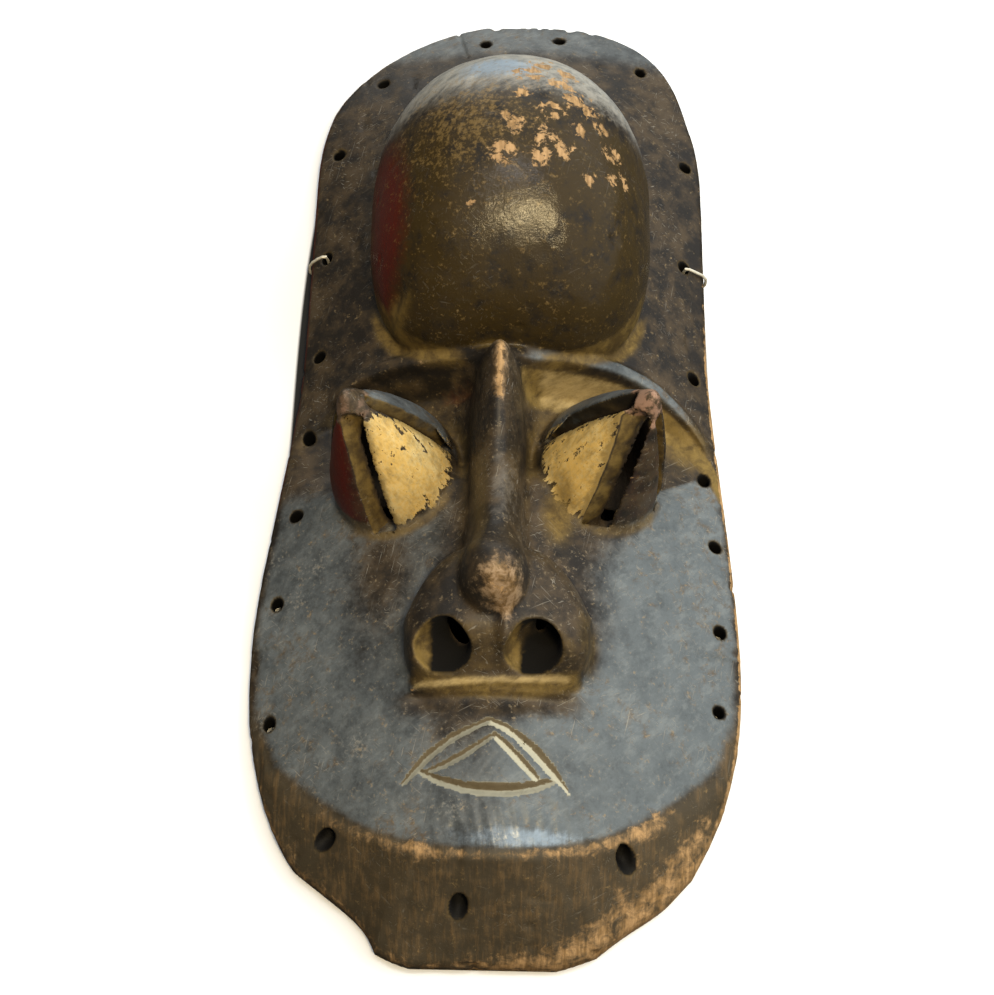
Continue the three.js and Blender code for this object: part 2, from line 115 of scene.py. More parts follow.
def middle(s):
    foot = foot_shift * (bell(s, 27, 13) - bell(s, 0, 10))
    return foot + jaw_lean * ease(s, jaw_at, 300) + crown_lean * ease(s, 470, 545)


def side_half(s):
    return jaw_width - waist * ease(s, 140, temple_at)


def splay_half(s):
    """Half width of the straight flanks that run up from the chin end."""
    return foot_half + foot_splay * s + foot_flare * ease(s, 15, 32) + foot_shift * bell(s, 0, 10)


def half_width(s):
    crown = (1 - np.clip((s - crown_at) / crown_reach, 0, 1) ** crown_power) ** (1 / crown_power)
    chin = (1 - np.clip((jaw_at - s) / (jaw_at + 4), 0, 1) ** chin_power) ** (1 / chin_power)
    return np.minimum(side_half(s) * crown * chin, splay_half(s))


def outline(x, s):
    """Distance outside the mask's outline, seen from the front."""
    across, side = np.abs(x - middle(s)), side_half(s)
    up = np.clip(s - crown_at, 0, None) / crown_reach
    down = np.clip(jaw_at - s, 0, None) / (jaw_at + 4)
    crown = ((across / side) ** crown_power + up ** crown_power) ** (1 / crown_power)
    chin = ((across / side) ** chin_power + down ** chin_power) ** (1 / chin_power)
    curve = (np.maximum(crown, chin) - 1) * side
    splay = (across - splay_half(s)) * splay_lean
    return most(curve, splay, -s, s - length)


def spine(s):
    """Height of the board along its middle."""
    face = spine_high + chin_rise * ease(s, 0, 120) + brow_rise * ease(s, 235, 300)
    return face - crown_fall * (np.clip(s - 300, 0, 240) / 240) ** 2


def board(x, s):
    half = np.where(s < jaw_at, jaw_width, half_width(s))
    across = np.minimum(np.abs(x - middle(s)) / np.maximum(half, 1), 1)
    return rim_edge + (spine(s) - rim_edge) * (1 - across ** 1.6)


def chin_wall_table():
    """Outline radius and wall steepness for each direction about the jaw's centre."""
    angles = np.radians(np.linspace(-180, 180, 721))
    radii = np.linspace(60, 420, 1441)
    x = radii[None] * np.sin(angles)[:, None]
    s = jaw_at - radii[None] * np.cos(angles)[:, None]
    out = radii[np.argmax(outline(x, s) > 0, axis=1)]
    turn = np.abs(np.degrees(angles))
    widen = (np.minimum(turn, ridge_turn) / ridge_turn) ** 1.7
    ridge = ridge_radius + ridge_spread * widen
    rise = board(ridge * np.sin(angles), jaw_at - ridge * np.cos(angles)) - rim_lip
    steep = rise / np.maximum(out - ridge, 5)
    return angles, out, steep + (ridge_end_steep - steep) * ease(turn, 52, ridge_turn)


wall_angles, wall_out, wall_steep = chin_wall_table()


def chin_wall(x, s, inset, lift):
    """Height of the chin's steep wall, and a scale that makes it a distance."""
    angle, radius = np.arctan2(x, jaw_at - s), np.hypot(x, jaw_at - s)
    out = np.interp(angle, wall_angles, wall_out)
    steep = np.interp(angle, wall_angles, wall_steep)
    return lift + steep * (out - inset - radius), np.sqrt(1 + steep * steep)


# The brow and the sockets
# Two low arches with a raised edge, cut as one line across the forehead, and
# below them a hollow on each side of the nose in which an eye stands.
socket_depth = 20
brow_top, brow_dip, brow_fall, brow_edge = 293, 7, 35, 5


def brow_line(x):
    a = np.abs(x - nose_x)
    dip = brow_dip * (np.clip(50 - a, 0, 50) / 50) ** 2
    return brow_top - dip - brow_fall * (np.clip(a - 50, 0, 80) / 64) ** 2.6


def socket(x, s, margin):
    a = np.abs(x - nose_x)
    depth = socket_depth * (1 - ease(a, 62 + margin, 113 + margin))
    under_brow = ease(brow_line(x) - s, 3 - margin, 14 - margin)
    return depth * under_brow * ease(s, 222 - margin, 246 - margin)


# The mouth
# Shallow V-cuts made with a knife: a leaf shape with a chevron inside it. Each
# cut is a line of points (x, s, half width) and swells in its middle.
mouth_lines = [
    [(-41.5, 74.5, 0.8), (-37.4, 79.5, 1.7), (-29.8, 87.5, 2.2), (-18.9, 95.4, 2), (-3.3, 102.6, 1.3)],
    [(-3.3, 103, 1.4), (4, 100, 1.8), (10.2, 96.2, 2.2), (19.2, 88.6, 3), (26, 81.1, 2.6),
     (31.1, 75.4, 1.4), (34, 71.5, 0.6)],
    [(-35.5, 80.8, 1), (-24.9, 75.6, 2), (-14.8, 72.3, 2.6), (-7.1, 71, 2.9), (1.7, 70.5, 3.1),
     (10.5, 71.2, 2.9), (19.4, 73.3, 2.5), (26, 75.7, 1.6), (30.5, 78, 0.7)],
    [(-30, 80, 1), (-23, 82.5, 1.7), (-15, 86.5, 1.8), (-7.6, 91.3, 1.6), (-1.2, 95.6, 1)],
    [(-0.5, 96.3, 1.2), (4.5, 92, 1.9), (10.3, 86.4, 2.1), (17.1, 79.2, 2), (21, 75.1, 1.2)],
]
mouth_slope = 0.85
mouth_middle, mouth_reach = (-2, 86), (44, 26)


def cut_line(x, s, points):
    """Distance to a line of points, its half width there, and the side of it: + is above."""
    best, width, side = np.full_like(x, 1e3), np.ones_like(x), np.zeros_like(x)
    for (ax, ay, a_half), (bx, by, b_half) in zip(points[:-1], points[1:]):
        dx, dy = bx - ax, by - ay
        t = np.clip(((x - ax) * dx + (s - ay) * dy) / (dx * dx + dy * dy), 0, 1)
        gap_x, gap_s = x - ax - t * dx, s - ay - t * dy
        gap = np.hypot(gap_x, gap_s)
        nearer = gap < best
        width = np.where(nearer, a_half + t * (b_half - a_half), width)
        side = np.where(nearer, np.sign(gap_s + 1e-6), side)
        best = np.minimum(gap, best)
    return best, width, side


def mouth(x, s):
    depth = np.zeros_like(x)
    near = (np.abs(x - mouth_middle[0]) < mouth_reach[0]) & (np.abs(s - mouth_middle[1]) < mouth_reach[1])
    near = np.flatnonzero(near)
    for points in mouth_lines:
        gap, width, _ = cut_line(x[near], s[near], points)
        depth[near] = np.maximum(depth[near], mouth_slope * np.clip(width - gap, 0, None))
    return depth


# The front of the face
# The board with the brow's raised edge, less the sockets, the mouth's cuts and a
# shallow recess that was scooped out below the nose.
nose_foot_s, recess_deep = 117.5, 2.8
left_brow_short = 24


def recess(x, s):
    below = nose_foot_s - s
    along = ease(below, 0, 2.5) * (1 - ease(below, 3, 14))
    return recess_deep * along * (1 - ease(np.abs(x + 2), 30, 42))


def front(x, s):
    a = np.abs(x - nose_x)
    above = s - brow_line(x)
    edge = np.where(above > 0, 1 - ease(above, 1, 7), 1 - ease(-above, 3, 6))
    shorter = left_brow_short * (x < 0)
    reach = 1 - ease(a, 100 - shorter, 116 - shorter)
    return board(x, s) + brow_edge * edge * reach - socket(x, s, 0) - mouth(x, s) - recess(x, s)


# The dome
# The high round forehead, left standing above the brow, full and nearly
# smooth, with a squarer foot towards the brow.
dome_x, dome_s, dome_z = 3, 382, 50
dome_wide, dome_long, dome_high, dome_lower = 73, 81, 85, 11
dome_root, dome_mean = 28, 72
dome_foot_square, dome_top_square = 3.3, 2.1


def dome(x, s, z, wall):
    long = np.where(s > dome_s, dome_long, dome_long + dome_lower) - wall
    high = np.where(z > dome_z, dome_high - wall, dome_root + wall)
    power = np.where(s > dome_s, dome_top_square, dome_foot_square)
    across, along = np.abs(x - dome_x) / (dome_wide - wall), np.abs(s - dome_s) / long
    plan = (across ** power + along ** power) ** (1 / power)
    return (np.hypot(plan, (z - dome_z) / high) - 1) * dome_mean


# The nose
# A long bridge that rises to a sharp crest between the brows, a drop-shaped
# tip, and two wide wings cut off by the slanting face that holds the nostrils.
bridge_s = [149, 156, 162, 178, 194, 212, 230, 246, 262, 273, 280, 286, 292]
bridge_ridge = [84, 96, 101, 100, 95, 92, 95, 100, 104, 105.5, 98, 82, 66]
bridge_half = [12, 15, 17, 18.5, 17, 16, 16, 15.5, 15, 14.5, 13.5, 12, 10]
bridge_full = [2.4, 2.4, 2.4, 2.4, 2.4, 2.4, 2.4, 2.1, 2, 1.9, 1.9, 1.9, 2]
bridge_foot, bridge_round = 38, 1.25
wing_centre, wing_radii, wing_power = (nose_x + 2, 150, 48), (44.5, 37, 38), 3.2
tip_centre, tip_radii, tip_power = (nose_x - 0.5, 162.5, 84), (15, 16.5, 28), 2.2
fold_centre, fold_radii = (4, 142, 75), (5.5, 12, 14)
lip_x, lip_s, lip_slant, lip_half, lip_radius = -2, 121, 0.045, 36, 1.6
nostril_plane_s, nostril_plane_z, nostril_tilt = 119, 58, math.radians(34)
tilt_s, tilt_z = math.cos(nostril_tilt), math.sin(nostril_tilt)
nostril_x, nostril_s, nostril_z, nostril_apart = -4, 150.1, 63.4, 20.7
nostril_wide, nostril_tall, nostril_deep, nostril_narrows = 13, 14, 38, 0.42
nostril_face, nostril_veer = -23, 0.6


def lobe(x, s, z, centre, radii, power=2):
    """A rounded lump, squarer the higher the power."""
    reach = sum(np.abs((v - c) / r) ** power for v, c, r in zip((x, s, z), centre, radii))
    return (reach ** (1 / power) - 1) * min(radii)


def bridge(x, s, z):
    ridge = np.interp(s, bridge_s, bridge_ridge)
    half = np.interp(s, bridge_s, bridge_half)
    full = np.interp(s, bridge_s, bridge_full)
    out = np.abs(x - nose_x) / half
    up = np.clip((z - bridge_foot) / (ridge - bridge_foot), 0, None)
    grow_out = full / half * np.maximum(out, 0.15) ** (full - 1)
    grow_up = bridge_round / (ridge - bridge_foot) * np.maximum(up, 0.1) ** (bridge_round - 1)
    body = (out ** full + up ** bridge_round - 1) / np.hypot(grow_out, grow_up)
    return most(body, bridge_s[0] - s, s - bridge_s[-1])


def cut_face(s, z):
    """Distance outside the slanting face that cuts off the wings."""
    return (z - nostril_plane_z) * tilt_z - (s - nostril_plane_s) * tilt_s


def nose(x, s, z):
    upper = np.clip((s - wing_centre[1]) / 42, 0, 1)
    narrowed = nose_x + (x - nose_x) / (1 - 0.4 * upper)
    wings = lobe(narrowed, s, z, wing_centre, wing_radii, wing_power)
    wings = keep(wings, cut_face(s, z), 5)
    tip = lobe(x, s, z, tip_centre, tip_radii, tip_power)
    fold = lobe(x, s, z, fold_centre, fold_radii)
    tip = join(join(tip, bridge(x, s, z), 9), fold, 3)
    return join(wings, tip, 2.5)


def nose_lip(x, s, z):
    """A thin raised line along the foot of the nostril face."""
    across = np.maximum(np.abs(x - lip_x) - lip_half, 0)
    along = s - lip_s - lip_slant * x
    return np.sqrt(across ** 2 + along ** 2 + (z - front(x, s) - 1.5) ** 2) - lip_radius


def nostril_depth(s, z):
    return (s - nostril_s) * tilt_s - (z - nostril_z) * tilt_z - nostril_face


def nostrils(x, s, z):
    """Two bores that veer to the right and narrow as they go in."""
    deep = nostril_depth(s, z)
    rise = (s - nostril_s) * tilt_z + (z - nostril_z) * tilt_s
    veer = nostril_x + nostril_veer * np.clip(deep - 5, 0, 15)
    shrink = 1 - nostril_narrows * ease(deep, 3, 18)
    bores = []
    for side in (-1, 1):
        off = x - veer - side * nostril_apart
        bore = (np.hypot(off / (nostril_wide * shrink), rise / (nostril_tall * shrink)) - 1) * 12
        bores.append(keep(bore, deep - nostril_deep, 4))
    return least(*bores)


# The eyes
# Two leaning cones with blunt points, hollow inside, each sawn into petals by
# four slots that start below the point and run down to its foot.
# For each eye: the middle of its foot, and how far its point leans across and up.
eye_places = {1: (49.5, 236, 23.5, 8), -1: (-52.5, 232.5, 22.5, 9)}
eye_foot, eye_radius, eye_high, eye_bulge, eye_crownwards = 42, 32, 80, 1.35, 1.25
eye_root, eye_wall, eye_hollow_top, flank_lean = 16, 9, 50, 0.82
slot_top, slot_reach, slot_draw, slot_inner = 62, 32, 0.2, 3
# For each eye's slots: direction, half width at the foot and at the top, how far
# the cut stands aside of the axis, and how far it veers as it goes in.
slot_cuts = {
    1: ((152, 6.4, 5, 0, 0), (67, 4.5, 4, 0, 0), (-22, 4.5, 4, 0, 0), (-90, 6.4, 5.6, -4.5, 1.35)),
    -1: ((23, 6.4, 3.4, 0, 0), (95, 4.5, 4, 0, 0), (180, 4.5, 4, 0, 0), (-95, 6, 5, 0, 0.7)),
}


def eye_frame(side):
    """The foot of a cone and its two cross directions and axis."""
    eye_x, eye_s, lean, tip_up = eye_places[side]
    axis = Vector((side * lean, tip_up, eye_high)).normalized()
    turn = Vector((0, 0, 1)).rotation_difference(axis)
    foot = Vector((eye_x, eye_s, eye_foot))
    return foot, turn @ Vector((1, 0, 0)), turn @ Vector((0, 1, 0)), axis


def eye_local(x, s, z, side):
    foot, across, along, axis = eye_frame(side)
    dx, ds, dz = x - foot.x, s - foot.y, z - foot.z
    return [dx * d.x + ds * d.y + dz * d.z for d in (across, along, axis)]


def cone_radius(h):
    return eye_radius * (1 - np.clip(h / eye_high, 0, 1) ** eye_bulge)


def eye_reach(u, v):
    """Distance from an eye's axis. The cones are fuller towards the crown."""
    return np.hypot(u, np.where(v > 0, v / eye_crownwards, v))


def cone_depth(u, v, h):
    """How far a point lies within a cone's skin."""
    return cone_radius(h) - eye_reach(u, v)


def cone(u, v, h, wall, top):
    side = (wall - cone_depth(u, v, h)) * flank_lean
    return keep(keep(side, h - top, 5 if wall == 0 else 3), -eye_root - h, 2)


def slots(u, v, h, side):
    """The saw cuts: round-ended, open to the hollow inside, square-walled."""
    saw_cuts = []
    into = np.clip(cone_depth(u, v, h), 0, eye_wall)
    for degrees, foot_half_width, top_half_width, aside, veer in slot_cuts[side]:
        a = math.radians(degrees)
        out, off = u * math.cos(a) + v * math.sin(a), -u * math.sin(a) + v * math.cos(a)
        off = off - aside - veer * into
        past_end = most(h - slot_top, 1 - h, 0)
        half = foot_half_width + (top_half_width - foot_half_width) * np.clip(h / slot_top, 0, 1)
        within = most(slot_inner - out, out - slot_reach + slot_draw * h)
        saw_cuts.append(np.maximum(np.hypot(off, past_end) - half, within))
    return least(*saw_cuts)


# The lace holes
# Holes of about 6 mm burnt through the rim, one every 45 mm or so, for a
# fibre fringe that is gone, and three wider ones that slant through the chin.
lace_holes = [
    (-13.7, 521.5), (29.9, 525.5), (76.4, 506), (100.7, 440), (98, 372), (101.5, 304),
    (105.5, 246), (109.5, 209), (110.6, 163), (108, 122), (-108.9, 111), (-109.5, 173),
    (-103, 220), (-99.5, 266), (-96.5, 313), (-96.3, 375), (-94.2, 443), (-71, 493),
]
chin_holes = [(-14.8, 22, 4), (69, 32, 4.6), (-84.5, 44.5, 4.2)]
lace_radius, lace_level = 3.1, 10
chin_tall, chin_fall, chin_climb, chin_deep = 1.5, 0.25, 1.15, 30


def drill(body, x, s, z):
    random = np.random.default_rng(4)
    for hole_x, hole_s in lace_holes:
        lean_x, lean_s, oval = random.uniform((-0.12, -0.12, 0.9), (0.12, 0.12, 1.1))
        near = np.flatnonzero((np.abs(x - hole_x) < 12) & (np.abs(s - hole_s) < 12))
        rise = z[near] - lace_level
        dx, ds = x[near] - hole_x - lean_x * rise, s[near] - hole_s - lean_s * rise
        body[near] = cut(body[near], np.hypot(dx * oval, ds / oval) - lace_radius, 1.6)
    for hole_x, hole_s, wide in chin_holes:
        on_wall = rim_lip + chin_climb * hole_s
        mouth_z = float(min(board(np.array(hole_x), np.array(hole_s)), on_wall))
        flat = math.hypot(hole_x, jaw_at - hole_s)
        in_x, in_s = -hole_x / flat, (jaw_at - hole_s) / flat
        near = np.flatnonzero(np.hypot(x - hole_x, s - hole_s) < 45)
        dx, ds, dz = x[near] - hole_x, s[near] - hole_s, z[near] - mouth_z
        deep, sideways = dx * in_x + ds * in_s, dx * in_s - ds * in_x
        leaning = 0.35 * sideways * (hole_x < -50)
        off = np.hypot(sideways, (dz + chin_fall * deep - leaning) / chin_tall)
        bore = np.maximum(off - wide + 0.02 * deep, np.abs(deep) - chin_deep)
        body[near] = cut(body[near], bore, 1.4)
    return body


# The notches for the wire
# Two shallow cuts across the underside of the rim, one at each of the two holes
# that hold the hanging wire, so that it lies flush and the rim still rests flat.
wire_holes = {1: lace_holes[4], -1: lace_holes[15]}
notch_long, notch_wide, notch_deep = 44, 12, 4
notch_outwards, notch_chinwards = 3, 1.6


def notches(x, s, z):
    both = []
    for side, (hole_x, hole_s) in wire_holes.items():
        past_end = np.abs(x - hole_x - notch_outwards * side) - notch_long / 2
        past_side = np.abs(s - hole_s + notch_chinwards) - notch_wide / 2
        both.append(most(past_end, past_side, z - notch_deep))
    return least(*both)


# The hollow back
# The same forms dug out from behind with an adze, leaving a wall of about
# 13 mm and a flat rim to rest on. The back was not photographed.
side_rim, crown_rim, chin_thick, dome_wall = 19, 36, 15, 12
behind_nose_centre, behind_nose_radii = (nose_x, 160, 38), (27, 32, 38)


def hollow(x, s, z, eyes):
    roof = np.maximum(board(x, s) - wall_thick - socket(x, s, eye_wall), 3)
    inside = keep(z - roof, outline(x, s) + side_rim, 7)
    inside = keep(inside, s - (length - crown_rim), 7)
    height, scale = chin_wall(x, s, chin_thick, 0)
    inside = keep(inside, (z - height) / scale, 7)
    inside = join(inside, dome(x, s, z, dome_wall), 6)
    inside = join(inside, lobe(x, s, z, behind_nose_centre, behind_nose_radii), 6)
    for u, v, h in eyes:
        inside = join(inside, cone(u, v, h, eye_wall, eye_hollow_top), 5)
    return inside


def wood(x, s, z):
    """The whole carving: negative inside the wood. Takes flat arrays."""
    eyes = [eye_local(x, s, z, side) for side in (-1, 1)]
    height, scale = chin_wall(x, s, 0, rim_lip)
    to_ridge = (height - front(x, s)) / scale
    rolled = 1.4 * (1 - ease(to_ridge, 0, 16)) * (s < jaw_at)
    body = keep((z - front(x, s) + rolled) * 0.9, (z - height) / scale, 1.6)
    body = keep(body, outline(x, s), 2.6)
    body = join(body, nose_lip(x, s, z), 2)
    body = join(body, nose(x, s, z), 5 + 11 * ease(s, 235, 262))
    body = join(body, dome(x, s, z, 0), 3)
    for u, v, h in eyes:
        body = join(body, cone(u, v, h, 0, eye_high - 2), 4)
    body = cut(body, hollow(x, s, z, eyes), 3)
    body = cut(body, nostrils(x, s, z), 2)
    for side, (u, v, h) in zip((-1, 1), eyes):
        body = cut(body, slots(u, v, h, side), 1.2)
    body = cut(body, notches(x, s, z), 1)
    return drill(np.maximum(body, -z), x, s, z)


# From the carving's form to a mesh
# The form is sampled on a fine grid, only near the wood's surface, and one
# mesh corner is set in each grid cell that the surface crosses.
pitch = 1.3
coarse_step = 3
low, high = [np.array(corner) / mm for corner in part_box("carved_mask")]
low[1] += length / 2
high[1] += length / 2
steps = np.ceil((high - low + 6) / (pitch * coarse_step)).astype(int) * coarse_step
start = (low + high) / 2 - steps * pitch / 2
axes = [(start[i] + pitch * np.arange(steps[i] + 1)).astype(np.float32) for i in range(3)]


def sample(indices):
    return wood(*[axes[i][indices[i]] for i in range(3)])


def near_surface():
    """Grid values everywhere, exact only where the surface is near."""
    coarse = np.meshgrid(*[np.arange(0, n + 1, coarse_step) for n in steps], indexing="ij")
    values = sample([c.ravel() for c in coarse]).reshape(coarse[0].shape)
    lowest, highest = values.copy(), values.copy()
    for axis in range(3):
        for rule, field in ((np.minimum, lowest), (np.maximum, highest)):
            wide = field.copy()
            ahead = [slice(None)] * 3
            behind = [slice(None)] * 3
            ahead[axis], behind[axis] = slice(1, None), slice(None, -1)
            wide[tuple(behind)] = rule(wide[tuple(behind)], field[tuple(ahead)])
            wide[tuple(ahead)] = rule(wide[tuple(ahead)], field[tuple(behind)])
            field[...] = wide
    busy = (lowest < 1.5) & (highest > -1.5)
    fine = values
    for axis in range(3):
        fine = np.repeat(fine, coarse_step, axis)
        busy = np.repeat(busy, coarse_step, axis)
    trim = coarse_step // 2
    window = tuple(slice(trim, trim + n + 1) for n in steps)
    fine, busy = fine[window].copy(), busy[window]
    fine[busy] = sample(np.nonzero(busy))
    return fine


def surface_net(values):
    """Corner points, in grid units, and four-cornered faces."""
    inside = values < 0
    cells = tuple(n - 1 for n in values.shape)
    corners = np.zeros(cells, np.uint8)
    for i in range(8):
        offset = [(i >> a) & 1 for a in range(3)]
        corners += inside[tuple(slice(o, o + n) for o, n in zip(offset, cells))]
    crossed = (corners > 0) & (corners < 8)
    number = (np.cumsum(crossed.ravel()) - 1).reshape(cells)
    at = np.array(np.nonzero(crossed))
    total, hits = np.zeros(at.shape), np.zeros(at.shape[1])
    for axis in range(3):
        others = [a for a in range(3) if a != axis]
        for i in range(4):
            offset = np.zeros((3, 1), int)
            offset[others[0]], offset[others[1]] = i & 1, i >> 1
            far = offset.copy()
            far[axis] = 1
            a, b = values[tuple(at + offset)], values[tuple(at + far)]
            crosses = (a < 0) != (b < 0)
            place = offset.astype(float) * np.ones(at.shape[1])
            place[axis] = np.where(crosses, a / np.where(crosses, a - b, 1), 0)
            total += place * crosses
            hits += crosses
    points = at + total / hits
    faces = []
    for axis in range(3):
        a, b = [k for k in range(3) if k != axis]
        near = [slice(1, -1)] * 3
        near[axis] = slice(None, -1)
        far = [slice(1, -1)] * 3
        far[axis] = slice(1, None)
        change = inside[tuple(near)].astype(np.int8) - inside[tuple(far)]
        for sign in (-1, 1):
            edge = np.array(np.nonzero(change == sign))
            edge[a] += 1
            edge[b] += 1
            ring = []
            for da, db in ((0, 0), (-1, 0), (-1, -1), (0, -1)):
                cell = edge.copy()
                cell[a] += da
                cell[b] += db
                ring.append(number[tuple(cell)])
            turn = (sign == 1) == (axis != 1)
            faces.append(np.stack(ring if turn else ring[::-1], 1))
    return points.T, np.concatenate(faces)


def slope(field, points, step):
    """Unit direction in which a field grows."""
    grown = np.empty_like(points)
    for axis in range(3):
        shift = np.zeros(3)
        shift[axis] = step
        grown[:, axis] = field(*(points + shift).T) - field(*(points - shift).T)
    size = np.linalg.norm(grown, axis=1, keepdims=True)
    return grown / np.maximum(size, 1e-6), size[:, 0] / (2 * step)


def mesh_from(name, points, faces):
    mesh = bpy.data.meshes.new(name)
    sides = faces.shape[1]
    mesh.vertices.add(len(points))
    mesh.vertices.foreach_set("co", points.astype(np.float32).ravel())
    mesh.loops.add(faces.size)
    mesh.loops.foreach_set("vertex_index", faces.astype(np.int32).ravel())
    mesh.polygons.add(len(faces))
    mesh.polygons.foreach_set("loop_start", np.arange(0, faces.size, sides, dtype=np.int32))
    mesh.polygons.foreach_set("use_smooth", np.ones(len(faces), bool))
    mesh.update(calc_edges=True)
    mesh.validate()
    return mesh


def in_row_frame(points):
    return (points - (0, length / 2, 0)) * mm


def cell_corners(place, smooth=False):
    """The eight grid corners round each place, one at a time, with their weights."""
    base = np.floor(place).astype(np.int64)
    part = place - base
    if smooth:
        part = part * part * (3 - 2 * part)
    for i in range(8):
        step = np.array([(i >> a) & 1 for a in range(3)])
        yield base + step, np.prod(np.where(step, part, 1 - part), axis=1)


# Tool marks and wear in the surface
# The adze left shallow facets, the knife left strokes on the chin wall and at
# the crown, and knocks took small chips off the rim and a notch off the dome.
def grain_noise(points, size, seed):
    """Smooth random heights from -1 to 1 about the given size apart."""
    total = np.zeros(len(points))
    for corner, weight in cell_corners(points / size + 1000, smooth=True):
        key = corner @ np.array([73856093, 19349663, 83492791]) + seed * 6364136223
        key = (key ^ (key >> 13)) * 1274126177 & 0x7FFFFFFF
        key = (key ^ (key >> 15)) & 0xFFFF
        total += weight * key
    return total / 32767.5 - 1


def spot(x, s, at, across, along=None):
    """A soft round or oval patch about a place on the face."""
    return bell(x, at[0], across) * bell(s, at[1], along or across)


def on_chin_wall(x, s, z):
    wall_height, scale = chin_wall(x, s, 0, rim_lip)
    return ease(-np.abs(z - wall_height) / scale, -4, -1.5) * ease(-s, -128, -100)


def tool_marks(points):
    """How far the finished surface stands proud of the plain form."""
    x, s, z = points.T
    face_side = ease(z, 4, 9)
    facets = 0.4 * grain_noise(points * (1, 0.6, 1), 14, 1) + 0.2 * grain_noise(points, 5, 2)
    angle, radius = np.arctan2(x, jaw_at - s), np.hypot(x, jaw_at - s)
    along_wall = np.stack([angle * 110, radius * 0.12, z * 0.1], 1)
    wall = on_chin_wall(x, s, z)
    strokes = (0.5 * grain_noise(along_wall, 4, 3) + 0.25 * grain_noise(along_wall, 1.7, 5)) * wall
    rim = ease(outline(x, s), -7, -1)
    chips = -1.3 * ease(grain_noise(points * (1, 1, 0.6), 7, 4), 0.5, 0.9) * rim
    fan = 0.35 * np.sin(x + 0.22 * (s - 70)) * bell(x, 6, 36) * bell(s, 58, 12) * (1 - wall)
    inner_fan = 0.25 * np.sin(x * 1.3 - 0.9 * s) * spot(x, s, (0, 82), 15, 9)
    crown_strokes = -0.9 * bell(s, 537, 12) * np.clip(np.cos((x - 18) * 0.95), 0, 1) * bell(x, 18, 9)
    crack = -1.2 * bell(x + 28 - 0.22 * (528 - s), 0, 0.9) * ease(s, 506, 512)
    adze = 0.9 * (np.abs(grain_noise(points * (1, 0.8, 1), 19, 6)) - 0.35)
    adze = adze * spot(x, s, (12, 325), 50, 22) * ease(z, 60, 75)
    notch = -3.5 * bell(np.hypot(x + 54, s - 313), 0, 4) * ease(z, 45, 50)
    dents = -0.7 * ease(grain_noise(points, 9, 7), 0.62, 0.9)
    return (facets + strokes + fan + inner_fan + adze + notch + dents) * face_side * 0.8 \
        + (chips + crown_strokes + crack) * ease(z, 1, 4)


def in_hollow(x, s, z):
    field = hollow(x, s, z, [eye_local(x, s, z, side) for side in (-1, 1)])
    return ease(-field, -2.5, -1)


values = near_surface()
points, faces = surface_net(values)
points = start + points * pitch
for _ in range(2):
    normal, steep = slope(wood, points, 0.3)
    points -= normal * np.clip(wood(*points.T) / np.maximum(steep, 0.3), -1, 1)[:, None]
points += normal * tool_marks(points)[:, None]
box_low, box_high = low + 0.02, high - 0.02
points = np.clip(points, box_low, box_high)
rough = mesh_from("carved_wood", in_row_frame(points), faces)
mask = bpy.data.objects.new("carved_wood", rough)
bpy.context.collection.objects.link(mask)

# The hollow is plain, so its mesh is thinned first and the face keeps its detail.
most_triangles, hollow_triangles = 196000, 34000
back = in_hollow(*points.T)
plain = mask.vertex_groups.new(name="plain")
plain.add(np.flatnonzero(back > 0.5).tolist(), 1, "REPLACE")
all_triangles = 2 * len(faces)
back_triangles = all_triangles * float(np.mean(back > 0.5))
coarse_back = mask.modifiers.new("thin the back", "DECIMATE")
coarse_back.vertex_group = "plain"
coarse_back.ratio = min(1, 1 - (back_triangles - hollow_triangles) / all_triangles)
left = all_triangles * coarse_back.ratio
thin = mask.modifiers.new("thin", "DECIMATE")
thin.ratio = min(1, most_triangles / left)
mask.data = bpy.data.meshes.new_from_object(mask.evaluated_get(bpy.context.evaluated_depsgraph_get()))
mask.modifiers.clear()
mask.vertex_groups.clear()

# Where the wood is worn, dirty and painted
# Edges and the chin are rubbed bare, hollows hold ochre earth, the cheeks have a
# blue-grey bloom that is partly a painted reflection of the cool light, and the eyes
# keep yellow paint beside the nose and red outside.
# Each layer is an amount from 0 to 1 at every corner of the mesh.


def corners_of(mesh):
    flat = np.empty(len(mesh.vertices) * 3, np.float32)
    mesh.vertices.foreach_get("co", flat)
    return flat.reshape(-1, 3).astype(float) / mm + (0, length / 2, 0)


def blurred(solid, reach):
    """Each cell as the mean of the cells up to so many steps away."""
    for axis in range(3):
        pad = [(reach + 1, reach) if a == axis else (0, 0) for a in range(3)]
        total = np.moveaxis(np.cumsum(np.pad(solid, pad, "edge"), axis), axis, 0)
        solid = np.moveaxis((total[2 * reach + 1:] - total[:-2 * reach - 1]) / (2 * reach + 1), 0, axis)
    return solid


def read_grid(grid, points, cell):
    """What a grid holds at each point, blended from the cell round it."""
    place = np.clip((points - start) / cell, 0, np.array(grid.shape) - 1.001)
    return sum(weight * grid[tuple(corner.T)] for corner, weight in cell_corners(place))


